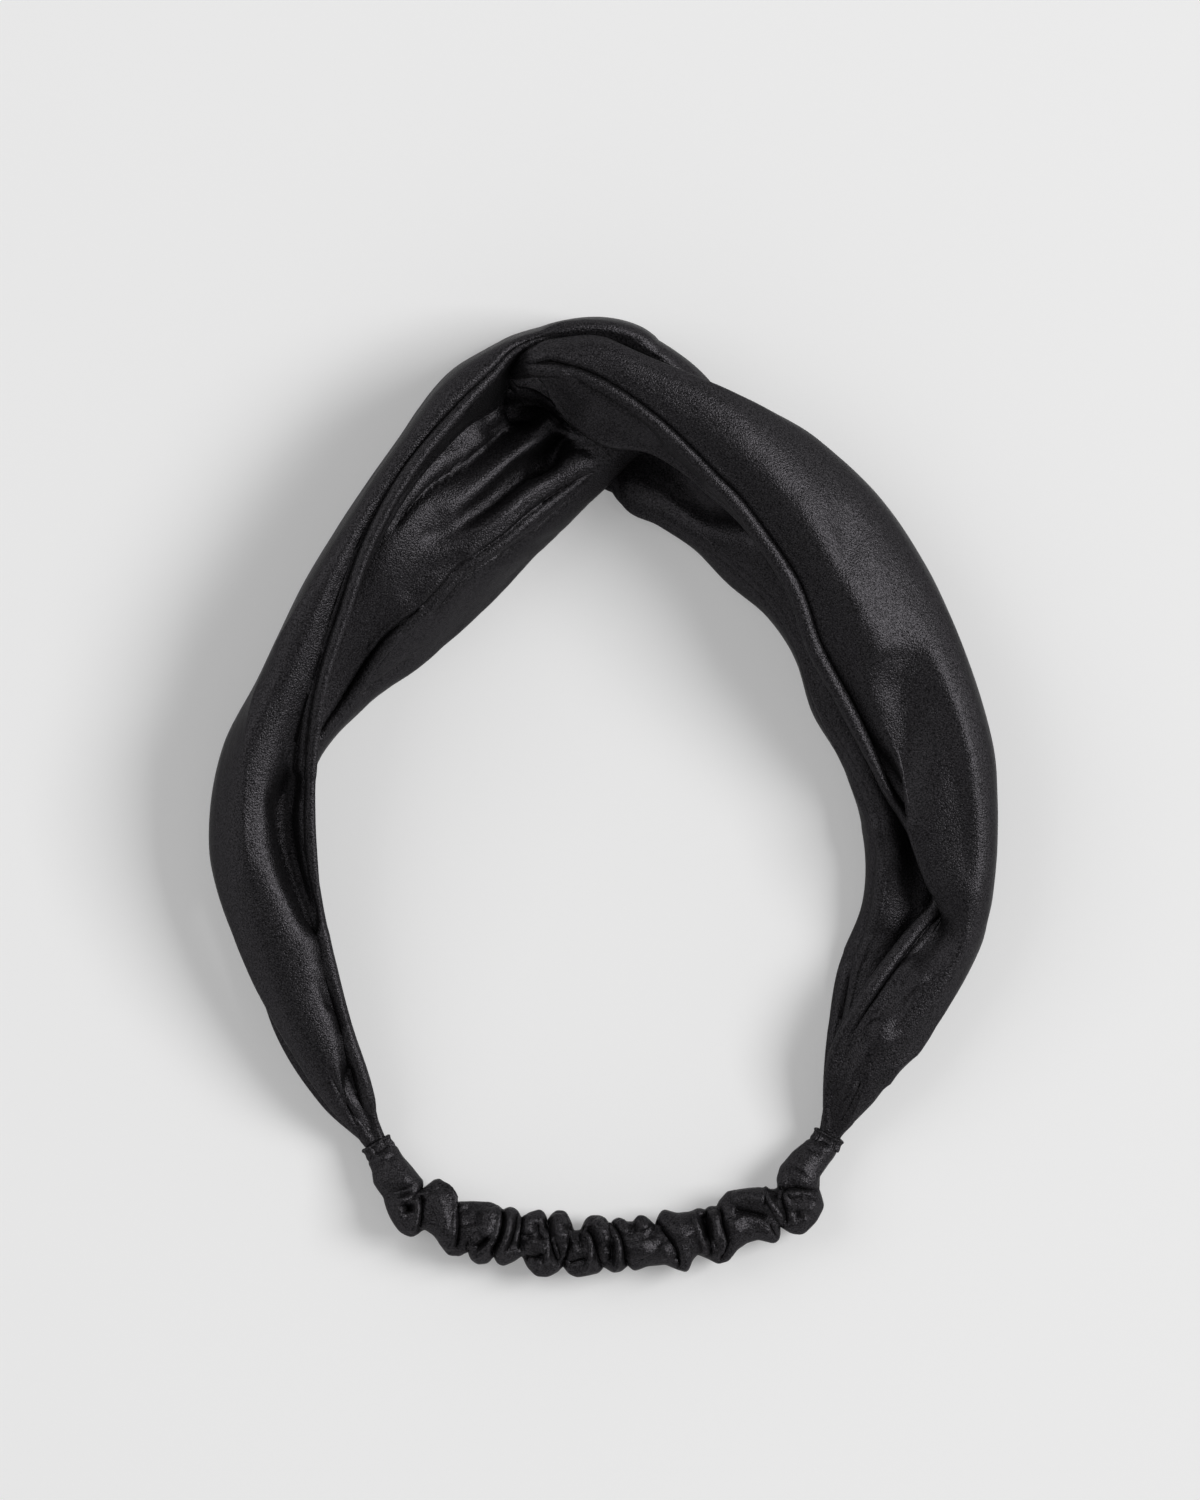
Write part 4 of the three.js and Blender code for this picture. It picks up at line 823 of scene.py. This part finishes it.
def makeCasing():
    line, lengths = casingLine()
    total = lengths[-1]
    around = casing["around"]
    turns = np.arange(around) * 2 * np.pi / around
    outwards, upwards = np.cos(turns), np.sin(turns)
    tucked = collar["length"] / 2 - casing["tucked"]
    stations = np.linspace(tucked, total - tucked, int(total / casing["stepAlong"]))
    shares = (stations - tucked) / (total - 2 * tucked)
    soften = np.array(casing["soften"]) / sum(casing["soften"])
    spare = len(soften) // 2
    reachIn, reachOut = (
        np.convolve(np.pad(np.interp(shares, *zip(*side)) * mm, spare, mode="edge"), soften, mode="valid")
        for side in (innerSide, outerSide)
    )
    middle, outward = alongCasing(line, lengths, stations)
    fromEnd = np.minimum(stations, total - stations) - tucked
    neck = (np.clip(fromEnd / casing["neck"], 0, 1) ** casing["neckRoundness"])[:, None]
    fullness = np.clip((reachIn + reachOut)[:, None] / casing["fullWidth"], 0, casing["crownMost"])
    crown = casing["crown"] * (casing["crownLeast"] + casing["crownGrows"] * fullness)
    sole = casing["level"] - casing["sole"]
    wide = np.where(outwards > 0, reachOut[:, None], reachIn[:, None])
    across = wide * signedPower(outwards, casing["squareness"][0])
    up = np.where(upwards > 0, crown, sole) * signedPower(upwards, casing["squareness"][1])
    mouthAcross = casing["mouth"][0] * signedPower(outwards, casing["mouthSquareness"])
    mouthUp = casing["mouth"][1] * signedPower(upwards, casing["mouthSquareness"])
    across = mouthAcross * (1 - neck) + across * neck
    up = mouthUp * (1 - neck) + up * neck
    grid = middle[:, None, :] + outward[:, None, :] * across[..., None] + upright * up[..., None]
    lift = np.zeros(grid.shape[:2])
    for fold in casingFolds:
        fuller = casing["fullness"] if fold["height"] > 0 else 1
        lift += foldLift(grid, {**fold, "height": fold["height"] * fuller, "taper": casing["taper"]})
    for i in range(len(grid)):
        for j in range(around):
            lift[i, j] += crumpleLift(Vector(grid[i, j]) * 1000)    # its place in mm
    atSides, growing = casing["calmSides"]
    showing = np.clip(upwards * growing + atSides, casing["calmUnder"], 1)[None, :]
    weight = showing * np.clip(fromEnd / casing["calmEnds"], 0, 1)[:, None]
    direction = tubeNormals(grid) * (1 - casing["straightUp"])
    direction = direction + upright * casing["straightUp"] * (upwards > 0)[None, :, None]
    grid = grid + direction * (np.maximum(lift, -casing["deepest"]) * weight)[..., None]
    grid[..., 2] = np.maximum(grid[..., 2], casing["thick"] / 2)
    normal = tubeNormals(grid)
    outer, inner = (grid + normal * casing["thick"] / 2 * way for way in (1, -1))
    for face in (outer, inner):
        face[..., 2] = np.maximum(face[..., 2], 0)
    piece = shellMesh("ruchedCasing", outer, inner, acrossClosed=True)
    print("casing cells", grid.shape[:2], "length mm", round(total / mm))
    return piece


def tubeNormals(grid):
    round_ = np.roll(grid, -1, axis=1) - np.roll(grid, 1, axis=1)
    normal = np.cross(np.gradient(grid, axis=0), round_)
    return normal / np.maximum(np.linalg.norm(normal, axis=-1, keepdims=True), leastLength)


elastic = {
    "width": 3.6 * mm,
    "thick": 0.8 * mm,
    "seat": 0.6 * mm,    # from a collar's middle to its end
    "cord": 0.08 * mm,    # how far its cords stand out
    "cells": (160, 9),
}


def makeElastic():
    line, lengths = casingLine()
    stations = np.linspace(elastic["seat"], lengths[-1] - elastic["seat"], elastic["cells"][0])
    middle, outward = alongCasing(line, lengths, stations)
    rise = np.linspace(-elastic["width"] / 2, elastic["width"] / 2, elastic["cells"][1])
    cords = elastic["cord"] * np.cos(np.arange(elastic["cells"][1]) * np.pi)
    faces = []
    for side in (1, -1):
        offset = side * (elastic["thick"] / 2 + cords)
        level = middle[:, None, :] + outward[:, None, :] * offset[None, :, None]
        faces.append(level + upright * rise[None, :, None])
    return shellMesh("elasticBand", faces[0], faces[1])


def makeCollar(name, joint):
    middle, ahead, outward = jointFrame(joint)
    turns = np.arange(collar["around"]) * 2 * np.pi / collar["around"]

    # one ring of the collar at a share of its length, its outline grown by lip
    def ringAt(share, lip):
        across = signedPower(np.cos(turns), collar["squareness"]) * (collar["width"] / 2 + lip)
        up = signedPower(np.sin(turns), collar["squareness"]) * (collar["height"] / 2 + lip)
        return middle + ahead * collar["length"] * (share - 0.5), across, up

    sections = []
    scale = collar["waveScale"]
    for share, grow in collar["flare"]:
        spots = [Vector((math.cos(t) * scale, math.sin(t) * scale, joint["at"])) for t in turns]
        wave = np.array([noise.noise(spot) for spot in spots])
        depth = collar["pleatDepth"] * (collar["pleatStart"] + (1 - collar["pleatStart"]) * share)
        pleat = depth * np.sin(turns * collar["pleats"] + collar["pleatWander"] * wave)
        place, across, up = ringAt(share, collar["lip"] * (grow - 1) - collar["pleatDepth"])
        across = across + np.cos(turns) * pleat
        up = up + np.sin(turns) * pleat
        ragged = collar["ragged"] if share <= collar["raggedTo"] else 0
        place = place + ahead * collar["length"] * ragged * wave[:, None]
        sections.append(place + outward * across[:, None] + upright * up[:, None])
    outer = curveThrough(sections, np.linspace(0, len(sections) - 1, collar["rings"]))
    inside = []
    for share in np.linspace(0, 1, len(outer)):
        place, across, up = ringAt(share, -collar["wall"])
        inside.append(place + outward * across[:, None] + upright * up[:, None])
    inner = np.stack(inside)
    outer[..., 2] = np.maximum(outer[..., 2], 0)
    if joint["side"] > 0:
        outer, inner = outer[:, ::-1], inner[:, ::-1]
    return shellMesh(name, outer, inner, acrossClosed=True)


ruchedCasing = makeCasing()
elasticBand = makeElastic()
leftCollar = makeCollar("leftCollar", leftJoint)
rightCollar = makeCollar("rightCollar", rightJoint)


satinLook = {
    "dark": (0.0127, 0.0121, 0.0133, 1),
    "light": (0.067, 0.0638, 0.069, 1),
    "sparkleScale": 3100,    # noise cells in a metre
    "softScale": 420,
    "sparkleRange": (0.28, 0.72),
    "softShare": 0.7,
    "roughness": (0.31, 0.45),
    "bump": 0.8,
    "bumpDepth": 0.2 * mm,
    "metallic": 0.85,    # threads shine, but the silhouette stays dark
    "specular": 0.2,
    "specularTint": (0.4, 0.4, 0.4, 1),
    "sheen": 0.02,
    "sheenRoughness": 0.3,
}


# the fine sparkle of satin and its soft unevenness, as a mask and a height
def satinGrain():
    group = bpy.data.node_groups.new("satinGrain", "ShaderNodeTree")
    group.interface.new_socket("Vector", in_out="INPUT", socket_type="NodeSocketVector")
    group.interface.new_socket("Sparkle", in_out="OUTPUT", socket_type="NodeSocketFloat")
    group.interface.new_socket("Height", in_out="OUTPUT", socket_type="NodeSocketFloat")
    start = group.nodes.new("NodeGroupInput")
    end = group.nodes.new("NodeGroupOutput")
    sparkle, soft = (group.nodes.new("ShaderNodeTexNoise") for _ in range(2))
    textures = [(sparkle, satinLook["sparkleScale"], 1), (soft, satinLook["softScale"], 3)]
    for texture, scale, detail in textures:
        texture.inputs["Scale"].default_value = scale
        texture.inputs["Detail"].default_value = detail
        group.links.new(start.outputs["Vector"], texture.inputs["Vector"])
    stronger = group.nodes.new("ShaderNodeMapRange")
    for side, value in zip(("From Min", "From Max"), satinLook["sparkleRange"]):
        stronger.inputs[side].default_value = value
    mix = group.nodes.new("ShaderNodeMath")
    mix.operation = "MULTIPLY_ADD"
    mix.inputs[1].default_value = satinLook["softShare"]
    group.links.new(sparkle.outputs["Fac"], stronger.inputs["Value"])
    group.links.new(stronger.outputs["Result"], end.inputs["Sparkle"])
    group.links.new(soft.outputs["Fac"], mix.inputs[0])
    group.links.new(sparkle.outputs["Fac"], mix.inputs[2])
    group.links.new(mix.outputs["Value"], end.inputs["Height"])
    return group


def blackSatin(name, grain):
    material = bpy.data.materials.new(name)
    material.use_nodes = True
    nodes, links = material.node_tree.nodes, material.node_tree.links
    shader = nodes["Principled BSDF"]
    place = nodes.new("ShaderNodeTexCoord")
    grainNode = nodes.new("ShaderNodeGroup")
    grainNode.node_tree = grain
    tone = nodes.new("ShaderNodeMix")
    tone.data_type = "RGBA"
    tone.inputs["A"].default_value = satinLook["dark"]
    tone.inputs["B"].default_value = satinLook["light"]
    rough = nodes.new("ShaderNodeMapRange")
    for side, value in zip(("To Min", "To Max"), satinLook["roughness"]):
        rough.inputs[side].default_value = value
    bump = nodes.new("ShaderNodeBump")
    bump.inputs["Strength"].default_value = satinLook["bump"]
    bump.inputs["Distance"].default_value = satinLook["bumpDepth"]
    links.new(place.outputs["Object"], grainNode.inputs["Vector"])
    links.new(grainNode.outputs["Sparkle"], tone.inputs["Factor"])
    links.new(tone.outputs["Result"], shader.inputs["Base Color"])
    links.new(grainNode.outputs["Sparkle"], rough.inputs["Value"])
    links.new(rough.outputs["Result"], shader.inputs["Roughness"])
    links.new(grainNode.outputs["Height"], bump.inputs["Height"])
    links.new(bump.outputs["Normal"], shader.inputs["Normal"])
    shader.inputs["Metallic"].default_value = satinLook["metallic"]
    shader.inputs["Specular IOR Level"].default_value = satinLook["specular"]
    shader.inputs["Specular Tint"].default_value = satinLook["specularTint"]
    shader.inputs["Sheen Weight"].default_value = satinLook["sheen"]
    shader.inputs["Sheen Roughness"].default_value = satinLook["sheenRoughness"]
    return material


satin = blackSatin("blackSatin", satinGrain())
clothPieces = [
    (leftStrip, "left_strip", "satin"),
    (rightStrip, "right_strip", "satin"),
    (ruchedCasing, "casing", "casing_satin"),
    (leftCollar, "left_collar", "collar_satin"),
    (rightCollar, "right_collar", "collar_satin"),
    (elasticBand, "elastic_band", "elastic"),
]
for piece, node, finish in clothPieces:
    piece.data.materials.append(satin)
    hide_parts(node)
    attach(piece, "root")
    area = sum(face.area for face in piece.data.polygons) / 2
    print(piece.name, "cloth cm2", round(area * 10000, 1))
print("pieces made")

# the studio. The table is lit a little from below, so that shadows stay pale.
table = {"size": 6.0, "colour": 0.77, "roughness": 0.9, "glow": 0.225}


def paleTable():
    deselectAll()
    bpy.ops.mesh.primitive_plane_add(size=table["size"], location=(0, 0, 0))
    floor = bpy.context.object
    floor.name = "table"
    material = bpy.data.materials.new("paleTable")
    material.use_nodes = True
    shader = material.node_tree.nodes["Principled BSDF"]
    shader.inputs["Base Color"].default_value = (table["colour"],) * 3 + (1,)
    shader.inputs["Roughness"].default_value = table["roughness"]
    shader.inputs["Emission Color"].default_value = (1, 1, 1, 1)
    shader.inputs["Emission Strength"].default_value = table["glow"]
    floor.data.materials.append(material)


def areaLight(name, place, target, size, power):
    light = bpy.data.lights.new(name, "AREA")
    light.shape = "RECTANGLE"
    light.size, light.size_y = size
    light.energy = power
    lamp = bpy.data.objects.new(name, light)
    bpy.context.scene.collection.objects.link(lamp)
    lamp.location = place
    lamp.rotation_euler = (Vector(target) - Vector(place)).to_track_quat("-Z", "Y").to_euler()


studio = {
    "key": {"place": (3.2, 0.6, 2.9), "target": (0, 0, 0), "size": (2.0, 2.0), "power": 126},
    "left": {"place": (-2.6, 1.2, 2.6), "target": (0, 0, 0), "size": (2.6, 2.6), "power": 28},
}
# how bright the room is straight up and level, and between which heights it fades
sky = {"overhead": 0.15, "horizon": 0.37, "from": 0.25, "to": 0.9}
world = bpy.data.worlds.new("studio")
world.use_nodes = True
nodes = world.node_tree.nodes
look = nodes.new("ShaderNodeTexCoord")
parts = nodes.new("ShaderNodeSeparateXYZ")
fade = nodes.new("ShaderNodeMapRange")
fade.inputs["From Min"].default_value = sky["from"]
fade.inputs["From Max"].default_value = sky["to"]
fade.inputs["To Min"].default_value = sky["horizon"]
fade.inputs["To Max"].default_value = sky["overhead"]
nodes["Background"].inputs["Color"].default_value = (1, 1, 1, 1)
world.node_tree.links.new(look.outputs["Generated"], parts.inputs["Vector"])
world.node_tree.links.new(parts.outputs["Z"], fade.inputs["Value"])
world.node_tree.links.new(fade.outputs["Result"], nodes["Background"].inputs["Strength"])
bpy.context.scene.world = world
for name, lamp in studio.items():
    areaLight(name, **lamp)
paleTable()
print("studio made")

view = {
    "across": 251.5 * mm,    # the width that the photograph's frame shows
    "middle": (-0.5 * mm, 10.1 * mm),    # of the frame, from the ring's own middle
    "height": 4.0,
    "sensor": 36,
}
camera = bpy.data.cameras.new("camera")
camera.sensor_fit = "HORIZONTAL"
camera.sensor_width = view["sensor"]
camera.lens = view["sensor"] * view["height"] / view["across"]
watcher = bpy.data.objects.new("camera", camera)
bpy.context.scene.collection.objects.link(watcher)
watcher.location = (ringMiddle[0] + view["middle"][0], ringMiddle[1] + view["middle"][1], view["height"])
bpy.context.scene.camera = watcher
bpy.context.scene.view_settings.view_transform = "Standard"
